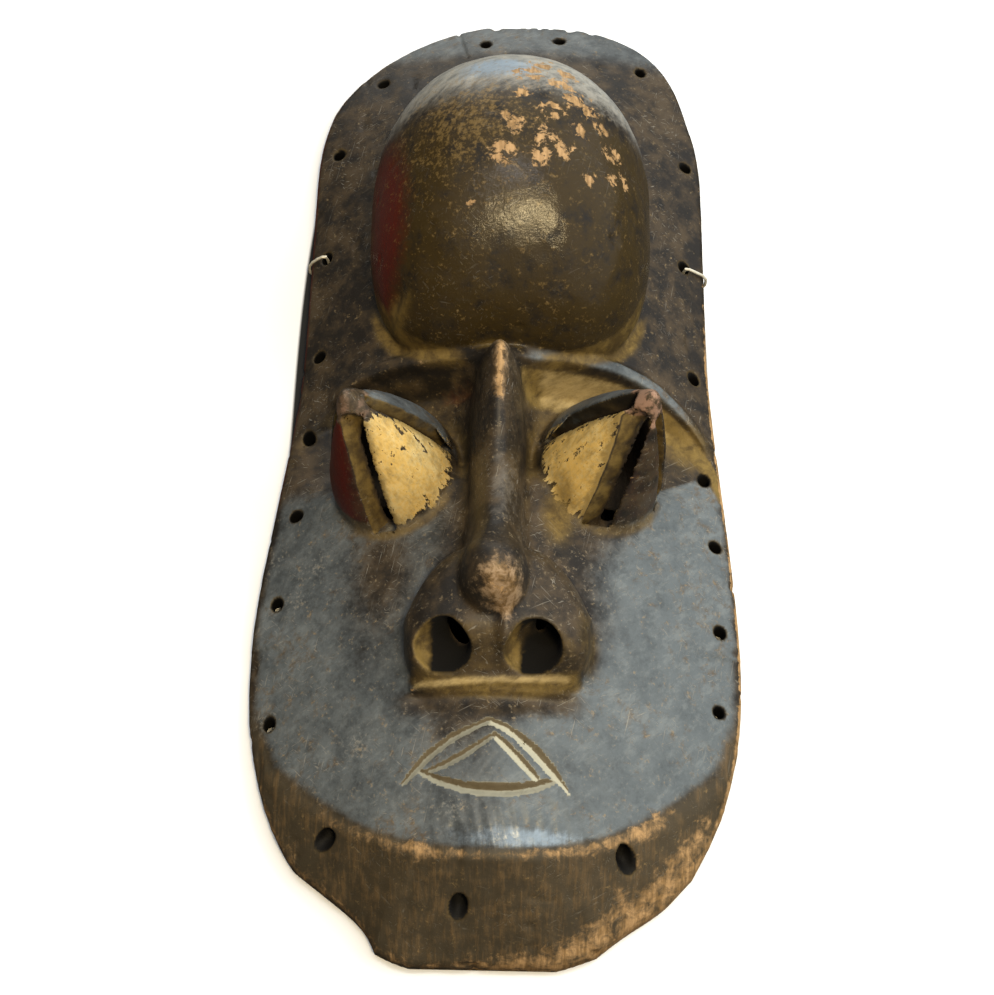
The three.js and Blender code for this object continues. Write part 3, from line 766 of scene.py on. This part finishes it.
solid = np.clip(0.5 - values / pitch, 0, 1).astype(np.float32)
near_bulk = blurred(blurred(solid, 1), 1)
wide_bulk = blurred(blurred(solid[::2, ::2, ::2], 3), 3)
spots = corners_of(mask.data)
x, s, z = spots.T
inside = in_hollow(x, s, z)
outside = 1 - inside
wall = on_chin_wall(x, s, z)
right = ease(x, -15, 15)
above_board = z - board(x, s)
eyes_here = [eye_local(x, s, z, side) for side in (-1, 1)]
on_eye = most(*[ease(cone_depth(u, v, h), -5, -1.5) * ease(h, 3, 8) for u, v, h in eyes_here])
on_dome = ease(-dome(x, s, z, 0), -5, -1) * ease(above_board, 4, 10)
on_nose = ease(-nose(x, s, z), -4, -1) * ease(above_board, 3, 8) * (1 - on_eye)
painted = {"chin": wall, "inside": inside, "dome": on_dome * (1 - ease(s, 380, 420))}

# Bare wood: the rim, the foot of the chin, its ridge, the nose and the dome's top.
rim_gap = -outline(x, s)
rim_right = right * (1 - 0.5 * ease(s, 300, 400))
rim_left = (1 - right) * (0.3 + 0.35 * (1 - ease(s, 60, 150)))
rim_wear = (1 - ease(rim_gap, 1, 3.5)) * (rim_right + rim_left) * outside
foot_band = wall * (1 - ease(z, 10 + 8 * ease(x, 0, 50), 22 + 8 * ease(x, 0, 50)))
foot_band = foot_band * (0.5 + 0.4 * ease(x, -45, 20)) * (1 - 0.75 * ease(s, 50, 85))
ridge_gap = front(x, s) - chin_wall(x, s, 0, rim_lip)[0]
ridge_wear = bell(ridge_gap, 0, 4) * ease(-s, -128, -100) * ease(z, 25, 35)
ridge_wear = ridge_wear * (0.62 + 0.2 * ease(x, 15, 30) + 0.3 * spot(x, s, (-30, 42), 14, 30))
chin_knock = 0.9 * spot(x, s, (59, 31), 6) * wall
crest_wear = bell(x, nose_x + 0.4, 3) * ease(s, 243, 250) * (1 - ease(s, 278, 284)) * ease(z, 88, 96)
tip_wear = 0.75 * (spot(x, s, (-4, 152), 4) + spot(x, s, (3, 149), 4)) * ease(z, 84, 90)
wing_wear = 0.55 * spot(x, s, (33, 125), 9, 5)
dome_patches = [
    (11, 413.5, 14), (26, 410, 12), (33, 401, 12), (21, 389, 11), (-1, 382, 9), (4, 378, 9), (18, 374, 10),
    (-3, 364, 11), (16, 363, 11), (28, 368, 9), (51, 377, 9), (46, 388, 7), (41, 356, 6), (-17, 340, 4),
    (17, 425, 12), (30, 421, 10), (40, 395, 9), (36, 381, 9), (8, 398, 9), (58, 366, 7), (52, 362, 7),
]
dome_wear = most(*[spot(x, s, patch[:2], patch[2]) for patch in dome_patches])
dome_wear = most(0.92 * dome_wear, 0.42 * spot(x, s, (18, 392), 34, 26)) * on_dome
nose_wear = most(crest_wear, tip_wear, wing_wear)
painted["bare"] = most(rim_wear, foot_band, ridge_wear, chin_knock, nose_wear, dome_wear)
painted["edge"] = ease(0.5 - read_grid(near_bulk, spots, pitch), 0.04, 0.18) * outside

# Ochre earth in the hollows: round the dome's foot, under the brow, about the nose;
# then painted golden light on the right brow's inner face and the nose's lip.
dome_gap = dome(x, s, np.full_like(x, dome_z), 0)
dome_foot = bell(dome_gap, 1, 3.2) * (1 - ease(s, 312, 345)) * (1 - ease(z, 62, 70))
below_brow = brow_line(x) - s
brow_face = ease(below_brow, 4, 7) * (1 - ease(below_brow, 14, 26))
# Under the brow the earth is much stronger on the right, the lit side: partly painted light.
under_brow = brow_face * (0.3 + 0.7 * ease(x, 0, 20)) * (1 - on_eye) * (1 - 0.7 * on_nose)
right_socket = 0.7 * spot(x, s, (96, 262), 16, 16) * (1 - on_eye) * (s > 240)
nose_foot = 0.8 * bell(s - 0.003 * x * x, 118, 5) * ease(x, -46, -34) * (1 - ease(x, 34, 46))
nose_foot = nose_foot * (1 - ease(z, 66, 76))
beside_nose = most(0.9 * spot(x, s, (29, 208), 9, 18), 0.5 * spot(x, s, (43, 138), 9, 20))
nostril_rims = 0.36 * ease(-np.abs(cut_face(s, z)), -5, -2) * on_nose * (1 - ease(z, 84, 92))
eye_feet = [bell(cone_depth(u, v, h), -2, 4) * bell(h, 2, 7) * ease(-v, -4, 14) for u, v, h in eyes_here]
earth = most(dome_foot, 0.9 * spot(x, s, (-54, 309), 9, 7), under_brow, right_socket, nose_foot,
             beside_nose, nostril_rims, 0.5 * most(*eye_feet)) * outside
painted["earth"] = earth
painted["hollows"] = ease(read_grid(wide_bulk, spots, 2 * pitch) - 0.5, 0.02, 0.2) * outside
# Painted light: gold on the right brow's inner face and a painted highlight on the lip at the nose's foot.
gold = 0.9 * brow_face * ease(x, 12, 24) * (1 - ease(x, 78, 95)) * (1 - on_eye) * (1 - on_nose) * outside
lit_lip_gold = bell(s - lip_slant * x, lip_s, 2) * (1 - ease(np.abs(x - lip_x), 34, 40)) * (1 - ease(z, 66, 72))
painted["gold"] = most(gold, lit_lip_gold)

# Blue-grey bloom on the cheeks, the chin, the crown, the brow's edge and the dome's top,
# partly a painted reflection of the cool light, so it is strongest on the right, the window's side.
cheek_top = np.where(x > 62, 237 + 13 * (x - 82) / 28, 240)
cheek = ease(s, 20, 45) * (1 - ease(s - cheek_top, -2 - 14 * (1 - ease(x, 60, 75)), 1))
cheek = cheek * (1 - wall) * (1 - on_nose) * (1 - on_eye) * ease(z, 8, 13) * outside
# On the right cheek it is full outwards of a line where the cheek turns towards the window: painted
# reflection.
bloom_and_reflection_from = np.interp(s, [95, 110, 134, 150, 181, 205, 238], [-5, 24, 44, 54, 52, 66, 80])
right_bloom_and_reflection = ease(x - bloom_and_reflection_from, -26, 14)
# Weaker on the left, away from the window, with a painted shadow left of the nose that takes it nearly
# away.
left_bloom_and_reflection = 0.8 * (1 - ease(x, -42, -10)) * (1 - 0.95 * spot(x, s, (-56, 182), 15, 30))
cheek_bloom_and_reflection = cheek * most(right_bloom_and_reflection, left_bloom_and_reflection, 0.75 * (1 - ease(s, 80, 112)))
# Painted shade: the bloom is kept off a band just below the nose's foot.
below_lip = nose_foot_s - s
nose_shade = ease(below_lip, -1, 1) * (1 - ease(below_lip, 5, 16)) * (1 - ease(np.abs(x + 2), 34, 50))
cheek_bloom_and_reflection = cheek_bloom_and_reflection * (1 - 0.8 * ease(earth, 0.2, 0.6)) * (1 - 0.85 * nose_shade)
crown_bloom_and_reflection = 0.8 * ease(s, 500, 520) * ease(z, 4, 8)
dome_bloom_and_reflection = 0.95 * on_dome * ease(s, 380, 432)
brow_crest = 0.85 * (1 - on_dome) * ease(-np.abs(below_brow - 0.5), -4.5, -2.5)
brow_crest = brow_crest * ease(x, 5, 20) * (1 - ease(x, 85, 110))
bloom = most(cheek_bloom_and_reflection, most(crown_bloom_and_reflection, dome_bloom_and_reflection, brow_crest) * outside)
# The sheen layer is a painted highlight: a band above the chin's ridge and spots on the dome's top.
chin_sheen = 0.9 * spot(x, s, (12, 50), 34, 6) * (1 - wall)
dome_sheen = (spot(x, s, (-5, 421), 22, 12) + 0.7 * spot(x, s, (31, 386), 7, 8)) * on_dome
painted["sheen"] = most(chin_sheen, dome_sheen) * outside

# Paint on the petals, red on the dome's left flank that is a painted reflection of red
# light from the left, and painted shade, black, deep in the slots, cones, nostrils and holes.
# The red on the dome's left flank is a painted reflection of red light from the left; the red on the left
# rim and the left brow is laid on the left side only.
red = most(1.25 * bell(x, -72, 24) * bell(s, 350, 55) * ease(z, 50, 60) * on_dome,
           0.35 * spot(x, s, (70, 381), 6, 9) * on_dome,
           0.5 * spot(x, s, (-22, 276), 17, 10) * (1 - on_nose) * brow_face,
           0.6 * (1 - ease(rim_gap, 0.5, 3)) * (1 - right) * ease(s, 150, 250))
yellow, caps, top_petals, soot = np.zeros((4, len(spots)))
petal_place = np.zeros((len(spots), 3))
slot_gap = np.full(len(spots), 6.0)
# For each eye, the middle directions of its inner, outer and top petals.
petal_middles = {1: (-149, -56, 109.5), -1: (-36, -137.5, 59)}
for side, (u, v, h) in zip((-1, 1), eyes_here):
    around = np.degrees(np.arctan2(v, u))
    inner, outer, top = [(around - middle_of + 180) % 360 - 180 for middle_of in petal_middles[side]]
    on_cone = ease(cone_depth(u, v, h), -3, -1) * ease(h, 2, 8) * outside
    petals = on_cone * (1 - ease(h, 59, 65))
    worn_paint = 0.12 + 0.3 * ease(-side * inner, 15, 50) + 0.25 * ease(h, 34, 58) + 0.2 * ease(-h, -14, -3)
    yellow = most(yellow, petals * (1 - ease(np.abs(inner), 62, 66)) * (1 - worn_paint))
    red_strength = 0.35 if side > 0 else 1 - 0.55 * ease(outer, -8, 30)
    red = most(red, petals * (1 - ease(np.abs(outer), 40, 46)) * red_strength)
    top_petals = most(top_petals, petals * (1 - ease(np.abs(top), 40, 46)))
    caps = most(caps, on_cone * ease(h, 58, 64) * (1 if side > 0 else 0.45))
    gap = slots(u, v, h, side)
    slot_gap = np.where((h > -2) & (eye_reach(u, v) < 42), np.minimum(slot_gap, gap), slot_gap)
    # Painted shade: black deep inside each cone.
    soot = most(soot, ease(cone_depth(u, v, h), 7, 13) * ease(h, -14, -6) * (1 - ease(h, 66, 72)))
    # Painted shade: black in the right eye's slots on the crown side.
    if side > 0:
        soot = most(soot, 0.9 * ease(-np.abs(gap), -0.5, -0.1) * ease(h, -2, 2) * (v > 2))
    petal = np.stack([np.radians(inner) * cone_radius(h) + 200 * side, h * 0.4, 0 * h], 1)
    petal_place = np.where(on_cone[:, None] > 0.01, petal, petal_place)
# Painted shade in the nostrils: black deep in and on all but the left wall of each bore.
in_nostril = ease(-np.abs(nostrils(x, s, z)), -1.1, -0.4)
nostril_off = x - nostril_x - nostril_apart * np.sign(x - nostril_x)
nostril_shade = most(ease(nostril_depth(s, z), 10, 12), ease(nostril_off, -6.5, -5))
# The lace holes are painted black inside: painted shade.
holes = ease(-np.abs(drill(np.full(len(spots), -9.0), x, s, z)), -1.2, -0.4)
painted.update(red=red, yellow=yellow, caps=caps, holes=holes, slot_gap=0.5 + slot_gap / 12)
painted["bloom"] = most(bloom, 0.75 * top_petals)
painted["soot"] = most(soot, in_nostril * nostril_shade)
painted["sawn"] = most(in_nostril, holes) * outside

# A pale film and polish where hands rubbed the nose and the dome, and scuffs.
nose_film_here = 0.66 * on_nose * ease(above_board, 12, 26) * (1 - in_nostril) * ease(cut_face(s, z), 2, 8)
bridge_film = 0.9 * spot(x, s, (2, 205), 9, 26) * on_nose
painted["film"] = most(nose_film_here, bridge_film, on_dome * ease(s, 382, 415))
painted["speckled"] = on_dome * (spot(x, s, (-18, 385), 36, 30) + 0.12)
painted["polish"] = most(spot(x, s, (8, 50), 42, 8) * (1 - wall), on_dome * (1 - ease(s, 366, 392)))
tip_rub = on_nose * (spot(x, s, (0, 155), 11, 12) + 0.7 * spot(x, s, (6, 146), 7, 9)) * ease(z, 82, 92)
crest_rub = bell(x, nose_x + 0.4, 4.5) * ease(s, 243, 250) * (1 - ease(s, 280, 287)) * ease(z, 84, 92)
painted["tip"] = most(tip_rub, crest_rub)
scuffed = [(-113, 198, 7), (-92, 190, 9), (-112, 110, 6), (-100, 172, 8), (-64, 96, 9), (-20, 62, 8)]
scuffs = most(0.2 * cheek, *[spot(x, s, place[:2], place[2]) for place in scuffed])
painted["scuffs"] = scuffs + 0.25 * on_dome * (x < 15) + 0.2 * on_nose

# Pale dust in the mouth's cuts, brighter in some, and worn off their upper sides.
groove_dusts = (0.2, 0.95, 0.35, 0.1, 1)
groove, groove_top, groove_bright = np.zeros((3, len(spots)))
for line, bright in zip(mouth_lines, groove_dusts):
    gap, width, side = cut_line(x, s, line)
    here = ease(width + 0.3 - gap, 0, 0.5) * ease(z, 30, 40)
    groove_top = np.where(here > groove, ease(gap * side, -0.4, 0.8), groove_top)
    groove_bright = np.where(here > groove, bright, groove_bright)
    groove = np.maximum(groove, here)
painted.update(groove=groove, groove_top=groove_top, groove_bright=groove_bright)

# The layers go onto the mesh, with a flat map of the petals for their streaks.
for name, amounts in painted.items():
    layer = mask.data.attributes.new(name, "FLOAT", "POINT")
    layer.data.foreach_set("value", np.clip(amounts, 0, 1).astype(np.float32))
petal_layer = mask.data.attributes.new("petal", "FLOAT_VECTOR", "POINT")
petal_layer.data.foreach_set("vector", petal_place.astype(np.float32).ravel())


class Socket:
    """A shader value that can be used in sums. Each sum adds its Math node."""

    def __init__(self, nodes, socket):
        self.nodes, self.socket = nodes, socket

    def math(self, operation, *others, swap=False):
        values = [self, *others]
        if swap:
            values = values[::-1]
        return self.nodes.node("ShaderNodeMath", {"operation": operation}, dict(enumerate(values)))

    def __add__(self, other):
        return self.math("ADD", other)

    def __sub__(self, other):
        return self.math("SUBTRACT", other)

    def __rsub__(self, other):
        return self.math("SUBTRACT", other, swap=True)

    def __mul__(self, other):
        return self.math("MULTIPLY", other)

    def clamped(self):
        return self.nodes.node("ShaderNodeClamp", {}, {0: self})

    def power(self, exponent):
        return self.math("ABSOLUTE").math("POWER", exponent)

    def above(self, low, high):
        """0 below low, 1 above high, smooth between."""
        settings = {"interpolation_type": "SMOOTHSTEP"}
        return self.nodes.node("ShaderNodeMapRange", settings, {0: self, 1: low, 2: high, 3: 0, 4: 1})

    def largest(self, other):
        return self.math("MAXIMUM", other)

    __radd__ = __add__
    __rmul__ = __mul__


class Nodes:
    """A node tree, and the one way to add nodes to it."""

    def __init__(self, tree):
        self.tree = tree
        self.tree.nodes.clear()

    def node(self, kind, settings, inputs, output=0):
        made = self.tree.nodes.new(kind)
        for key, value in settings.items():
            setattr(made, key, value)
        for key, value in inputs.items():
            self.put(made.inputs[key], value)
        return Socket(self, made.outputs[output])

    def put(self, place, value):
        if isinstance(value, Socket):
            self.tree.links.new(value.socket, place)
        elif isinstance(value, tuple) and place.type == "RGBA":
            place.default_value = (*value, 1)
        else:
            place.default_value = value

    def here(self, stretch=(1, 1, 1), turn=0):
        """Object coordinates in millimetres, turned and then stretched."""
        place = self.node("ShaderNodeTexCoord", {}, {}, "Object")
        size = tuple(v * mm for v in stretch)
        return self.node("ShaderNodeMapping", {"vector_type": "TEXTURE"},
                         {"Vector": place, "Scale": size, "Rotation": (0, 0, turn)})

    def noise(self, place, size, detail=3, rough=0.6, warp=0):
        """Cloudy noise with features of about the given size."""
        inputs = {"Vector": place, "Scale": 1 / size, "Detail": detail, "Roughness": rough}
        inputs["Distortion"] = warp
        return self.node("ShaderNodeTexNoise", {"noise_dimensions": "3D"}, inputs, "Fac")

    def layer(self, name, output="Fac"):
        return self.node("ShaderNodeAttribute", {"attribute_name": name}, {}, output)

    def mix(self, amount, a, b):
        return self.node("ShaderNodeMix", {"data_type": "RGBA"}, {0: amount, 6: a, 7: b}, 2)


class Finish(Nodes):
    """A material with one shader."""

    def __init__(self, name):
        self.material = bpy.data.materials.new(name)
        self.material.use_nodes = True
        super().__init__(self.material.node_tree)
        self.shader = self.tree.nodes.new("ShaderNodeBsdfPrincipled")
        output = self.tree.nodes.new("ShaderNodeOutputMaterial")
        self.tree.links.new(self.shader.outputs[0], output.inputs[0])

    def coat(self, amount, tone):
        """Lay a further tone over the colour so far."""
        self.colour = self.mix(amount, self.colour, tone)

    def set(self, **inputs):
        for key, value in inputs.items():
            self.put(self.shader.inputs[key.replace("_", " ")], value)


# The wood's finish
# Years of handling and smoke left a dark, half-shiny skin; where it is rubbed
# through, the wood is orange. Fine scratches and flecks show paler. Each tone is
# a colour in linear red, green and blue.
black_patina = (0.016, 0.013, 0.010)
brown_patina = (0.060, 0.041, 0.022)
olive_film = (0.036, 0.023, 0.007)
# The bloom tones are partly a painted reflection of the cool light.
blue_bloom_and_reflection = (0.106, 0.121, 0.125)
rusty_bloom_and_reflection = (0.10, 0.075, 0.05)
grey_dust = (0.30, 0.27, 0.215)
chin_skin = (0.062, 0.046, 0.024)
# Grime and painted shade on the yellow paint.
paint_grime_and_shade = (0.20, 0.135, 0.045)
pale_bloom_and_reflection = (0.155, 0.17, 0.168)
# A painted highlight's tone.
sheen_tone = (0.27, 0.33, 0.38)
nose_film = (0.125, 0.105, 0.080)
dome_film = (0.45, 0.42, 0.35)
tip_wood = (0.36, 0.24, 0.135)
# The tone of the painted golden light.
golden_painted_light = (0.43, 0.31, 0.13)
bare_wood = (0.46, 0.275, 0.12)
rubbed_wood = (0.22, 0.125, 0.045)
ochre_earth = (0.21, 0.135, 0.034)
ochre_fleck = (0.20, 0.125, 0.04)
dark_earth = (0.075, 0.046, 0.013)
yellow_paint = (0.60, 0.375, 0.10)
pale_paint = (0.60, 0.46, 0.21)
# Red paint, and the painted red reflection on the dome's left flank.
red_paint_and_reflection = (0.085, 0.008, 0.004)
groove_dust = (0.37, 0.345, 0.25)
dull_groove = (0.165, 0.155, 0.115)
groove_brown = (0.075, 0.050, 0.020)
inside_wood = (0.075, 0.05, 0.028)
cap_wood = (0.34, 0.20, 0.13)
# The black of painted shade.
black_shade = (0.004, 0.0035, 0.003)

patina = Finish("old_patina")
place = patina.here()
clouds = patina.noise(place, 42, 4)
blotches = patina.noise(place, 10, 5, 0.65)
flakes = patina.noise(place, 6, 6, 0.7, 0.4)
specks = patina.noise(place, 2.0, 4, 0.7)
fibres = patina.noise(patina.here((1, 14, 6)), 1.6, 3)
washed = patina.noise(patina.here((3, 1, 1), 0.6), 5, 5, 0.75)
petal_streaks = patina.noise(patina.layer("petal", "Vector"), 4.5, 5, 0.7, 0.3)
grain = fibres * 0.6 + blotches * 0.5
dome_here, caps, slot_gap = patina.layer("dome"), patina.layer("caps"), patina.layer("slot_gap")
bare, earth, bloom = patina.layer("bare"), patina.layer("earth"), patina.layer("bloom")
hollows, edge, chin = patina.layer("hollows"), patina.layer("edge"), patina.layer("chin")
sawn, inside_here, groove = patina.layer("sawn"), patina.layer("inside"), patina.layer("groove")
polish, soot, yellow = patina.layer("polish"), patina.layer("soot"), patina.layer("yellow")

# Fine scratches in four directions: turn, length, and the noise level where they start.
scratch_runs = ((0.5, 22, 0.66), (-0.75, 16, 0.665), (1.35, 30, 0.67), (-0.2, 12, 0.68))
scratches = None
for turn, length_mm, start_at in scratch_runs:
    one = patina.noise(patina.here((length_mm, 1, 3), turn), 0.9, 2).above(start_at, start_at + 0.04)
    scratches = one if scratches is None else scratches.largest(one)
scratches = scratches * clouds.above(0.4, 0.6) * (1 - dome_here * 0.7)

# The skin: black and brown, an olive film on the dome, blue bloom that is partly painted
# reflection, painted highlights, flecks, pale film.
patina.colour = patina.mix((blotches * 0.6 + clouds * 0.5).above(0.45, 0.68), black_patina, brown_patina)
olive_here = (dome_here * 0.5 + blotches * 1.2 + flakes * 0.6).above(1.05, 1.5)
patina.coat(olive_here * 0.95, olive_film)
bloom_and_reflection_here = (bloom * 0.9 + clouds * 0.9 + blotches * 0.8 + specks * 0.5 - 1.1).above(0.1, 1.05)
bloom_and_reflection_tone = patina.mix((flakes * 0.8 + clouds * 0.5).above(0.66, 0.85), blue_bloom_and_reflection, rusty_bloom_and_reflection)
bloom_and_reflection_tone = patina.mix((washed * 0.9 + clouds * 0.3).above(0.56, 0.74) * 0.8, bloom_and_reflection_tone, pale_bloom_and_reflection)
# Where the sheen layer is, the bloom turns pale blue: a painted highlight.
sheen_here = (patina.layer("sheen") + fibres * 0.8 + washed * 0.8 - 0.95).above(0.15, 0.7)
bloom_and_reflection_tone = patina.mix(sheen_here * 0.85, bloom_and_reflection_tone, sheen_tone)
patina.coat(bloom_and_reflection_here * 0.9, bloom_and_reflection_tone)
flecks = (specks * 0.7 + flakes * 0.4 + patina.layer("scuffs") * 0.12 - polish * 0.06).above(0.63, 0.78)
patina.coat((flecks * 0.4 + scratches * 0.45).clamped(), grey_dust)
film_here = (patina.layer("film") + washed * 1.6 + flakes * 0.8 - 1.55).above(0.1, 0.9)
# On the dome's top the film takes the painted highlight's tone where the sheen is.
film_tone = patina.mix(bloom, nose_film, patina.mix(sheen_here, dome_film, sheen_tone))
patina.coat(film_here * 0.85, film_tone)
patina.coat(chin * 0.65, chin_skin)
streaks = grain.above(0.5, 0.72) * chin
patina.coat(streaks * 0.28, rubbed_wood)

# The paint: red, and yellow that flakes along the petals and is darker at the slots,
# partly grime and partly painted shade.
on_petal = slot_gap.above(0.525, 0.56)
# The red coat carries both the petals' paint and the painted red reflection on the dome.
red_here = (patina.layer("red") + flakes * 0.5 - 0.25).above(0.3, 0.8) * on_petal
patina.coat(red_here * 0.92, red_paint_and_reflection)
flaking = yellow + petal_streaks * 3.6 + specks * 0.9 - 2.25
yellow_here = flaking.above(0.32, 0.5) * on_petal * yellow.above(0.03, 0.3)
paint_tone = patina.mix((clouds * 0.6 + specks * 0.5).above(0.45, 0.7), yellow_paint, pale_paint)
# Near the slots the yellow darkens: partly grime, partly painted shade.
near_slot = 1 - slot_gap.above(0.54, 0.9)
grime_and_shade = (near_slot * 0.5 + petal_streaks * 1.6 + blotches * 0.8 - 0.95).above(0.1, 0.75)
paint_tone = patina.mix(grime_and_shade * 0.8, paint_tone, paint_grime_and_shade)
patina.coat(yellow_here, paint_tone)

# Earth in the hollows and under the brow, painted golden light on the right brow and the
# nose's lip, the rubbed tip, and dust in cuts and grooves.
earth_amount = earth.largest(hollows * 0.5)
earth_here = (earth_amount * 1.3 + blotches * 0.5 + specks * 0.15 - 0.55).above(0, 0.9)
earth_tone = patina.mix((flakes * 0.6 + clouds * 0.5).above(0.42, 0.68), dark_earth, ochre_earth)
patina.coat(earth_here * 0.85, earth_tone)
# Golden painted light where the right brow and the nose's lip catch the light.
lit_gold_here = (patina.layer("gold") * 0.8 + washed * 1.2 - 0.75).above(0.1, 0.9)
patina.coat(lit_gold_here * 0.85, golden_painted_light)
tip_here = (patina.layer("tip") * 0.7 + flakes * 1.3 + specks * 0.5 - 0.95).above(0.2, 0.75)
patina.coat(tip_here * 0.85, patina.mix(flakes.above(0.4, 0.6), rubbed_wood, tip_wood))
gold_flecks = (specks * 0.8 + flakes * 0.6 + patina.layer("speckled") * 0.15).above(0.78, 0.95)
patina.coat(gold_flecks * 0.55, ochre_fleck)
sawn = sawn.largest(1 - slot_gap.above(0.505, 0.53))
patina.coat(sawn * 0.8, patina.mix(blotches.above(0.35, 0.65), dark_earth, ochre_earth))
groove_tone = patina.mix(patina.layer("groove_bright"), dull_groove, groove_dust)
worn_top = (patina.layer("groove_top") * 0.8 + flakes * 0.6 - 0.4).above(0.2, 0.5)
groove_tone = patina.mix(worn_top * 0.9, groove_tone, groove_brown)
patina.coat(groove.above(0.25, 0.6), groove_tone)

# Bare wood over all of these, then the eyes' caps, the painted black shade in the
# cones, slots, nostrils and lace holes, and the hollow back.
bare_amount = bare.largest(caps * 0.5).largest(edge * 0.42)
bare_low, bare_high = 0.1 - chin * 0.25, 0.26 + chin * 0.3
bare_here = (bare_amount * 0.9 + flakes * 2.0 + specks * 0.35 - 1.72).above(bare_low, bare_high)
patina.coat(bare_here * 0.92, patina.mix(grain.above(0.42, 0.68), rubbed_wood, bare_wood))
cap_here = (caps * 0.9 + blotches * 0.8 - 0.5).above(0.2, 0.6)
patina.coat(cap_here * 0.85, patina.mix(flakes.above(0.45, 0.6), cap_wood, brown_patina))
patina.coat(soot.largest(patina.layer("holes")), black_shade)
patina.coat(inside_here * 0.95, patina.mix(fibres, black_patina, inside_wood))

shine = 0.37 - polish * 0.25 + soot * 0.5 + blotches * 0.12 + earth_here * 0.3 + bare_here * 0.2
shine = shine + inside_here * 0.4 + flecks * 0.12 + sawn * 0.25 + groove * 0.3 + chin * 0.12
height = specks * 0.25 + fibres * 0.12 + blotches * 0.5 + flakes * polish * 0.6 - scratches * 0.35
height = height + yellow_here * 0.3 - bare_here * 0.35 + streaks * 0.2
bump = patina.node("ShaderNodeBump", {}, {"Height": height, "Distance": 0.6 * mm, "Strength": 0.7})
patina.set(Base_Color=patina.colour, Roughness=shine.clamped(), Normal=bump, IOR=1.38)

mask.data.materials.clear()
mask.data.materials.append(patina.material)
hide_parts("carved_mask")
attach(mask, "root")

# The hanging wire
# A thin off-white wire looped through one hole on each side and drawn across the
# open back. Only its two loops round the rim show from the front.
metal = Finish("dull_wire")
wear = metal.noise(metal.here(), 3)
metal.set(Base_Color=metal.mix(wear, (0.62, 0.55, 0.40), (0.85, 0.80, 0.66)),
          Roughness=0.3 + wear * 0.3, Metallic=0.4)
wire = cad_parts["hanging_wire"]
wire.data.materials.clear()
wire.data.materials.append(metal.material)

# The floor and the light
# The floor is pale to the camera only, dark to all other rays and darkest beneath
# the mask. A broad cool window stands to the right, a sky light and a small glint
# hang overhead, and a small warm lamp stands beyond the chin.
floor_size, shade_half, shade_power = 8, (112, 258, 1), 3.3
bpy.ops.mesh.primitive_plane_add(size=floor_size, location=(0, 0, 0))
floor = bpy.context.object
floor.name = "floor"
pale = Finish("pale_floor")
seen = pale.node("ShaderNodeLightPath", {}, {}, "Is Camera Ray")
floor_colour = pale.mix(seen, (0.035, 0.03, 0.025), (0.85, 0.85, 0.85))
across_floor, along_floor = [
    pale.node("ShaderNodeSeparateXYZ", {}, {0: pale.here(shade_half)}, axis) for axis in ("X", "Y")]
beneath = 1 - (across_floor.power(shade_power) + along_floor.power(shade_power)).above(0.95, 1)
pale.set(Base_Color=pale.mix(beneath, floor_colour, (0.01, 0.01, 0.01)), Roughness=0.9)
floor.data.materials.append(pale.material)


def soft_light(name, azimuth, elevation, distance, size, power, colour, glossy=True):
    """A light that looks at the mask. Azimuth runs from the crown to the right."""
    lamp = bpy.data.lights.new(name, "AREA")
    lamp.shape, lamp.size, lamp.size_y = "RECTANGLE", size[0], size[1]
    lamp.energy, lamp.color = power, colour
    lamp_object = bpy.data.objects.new(name, lamp)
    bpy.context.collection.objects.link(lamp_object)
    a, e = math.radians(azimuth), math.radians(elevation)
    away = Vector((math.sin(a) * math.cos(e), math.cos(a) * math.cos(e), math.sin(e)))
    lamp_object.location = away * distance
    lamp_object.rotation_mode = "QUATERNION"
    lamp_object.rotation_quaternion = away.to_track_quat("Z", "Y")
    lamp_object.visible_glossy = glossy


soft_light("window", 72, 38, 2, (1.8, 1.8), 36, (0.84, 0.92, 1), glossy=False)
soft_light("skylight", 0, 85, 1.9, (1.4, 0.4), 14, (0.92, 0.96, 1), glossy=False)
soft_light("glint", 10, 85, 1.9, (0.16, 0.16), 2.5, (1, 1, 1))
soft_light("lamp", 156, 68, 1.6, (0.24, 0.24), 14, (1, 0.78, 0.42))

# The room is brighter on the window's side and brightest beyond the crown. The
# camera sees it as one plain pale ground.
world = bpy.data.worlds.new("room")
world.use_nodes = True
room = Nodes(world.node_tree)
direction = room.node("ShaderNodeTexCoord", {}, {}, "Generated")


def towards(x, y, z):
    """How nearly a ray runs in the given direction: 1 is straight along it."""
    settings, inputs = {"operation": "DOT_PRODUCT"}, {0: direction, 1: (x, y, z)}
    return room.node("ShaderNodeVectorMath", settings, inputs, "Value")


window_side, beyond_crown = towards(0.62, 0.2, 0.76), towards(-0.05, 0.96, 0.27)
room_colour = room.mix(window_side.above(-0.35, 0.9), (0.06, 0.045, 0.03), (0.6, 0.66, 0.72))
room_colour = room.mix(beyond_crown.above(0.86, 1) * 0.85, room_colour, (2.2, 2.2, 2.1))
seen = room.node("ShaderNodeLightPath", {}, {}, "Is Camera Ray")
room_colour = room.mix(seen, room_colour, (0.9, 0.9, 0.9))
background = room.node("ShaderNodeBackground", {}, {"Color": room_colour, "Strength": 1})
world_output = room.tree.nodes.new("ShaderNodeOutputWorld")
room.put(world_output.inputs["Surface"], background)
bpy.context.scene.world = world
bpy.context.scene.view_settings.view_transform = "Standard"
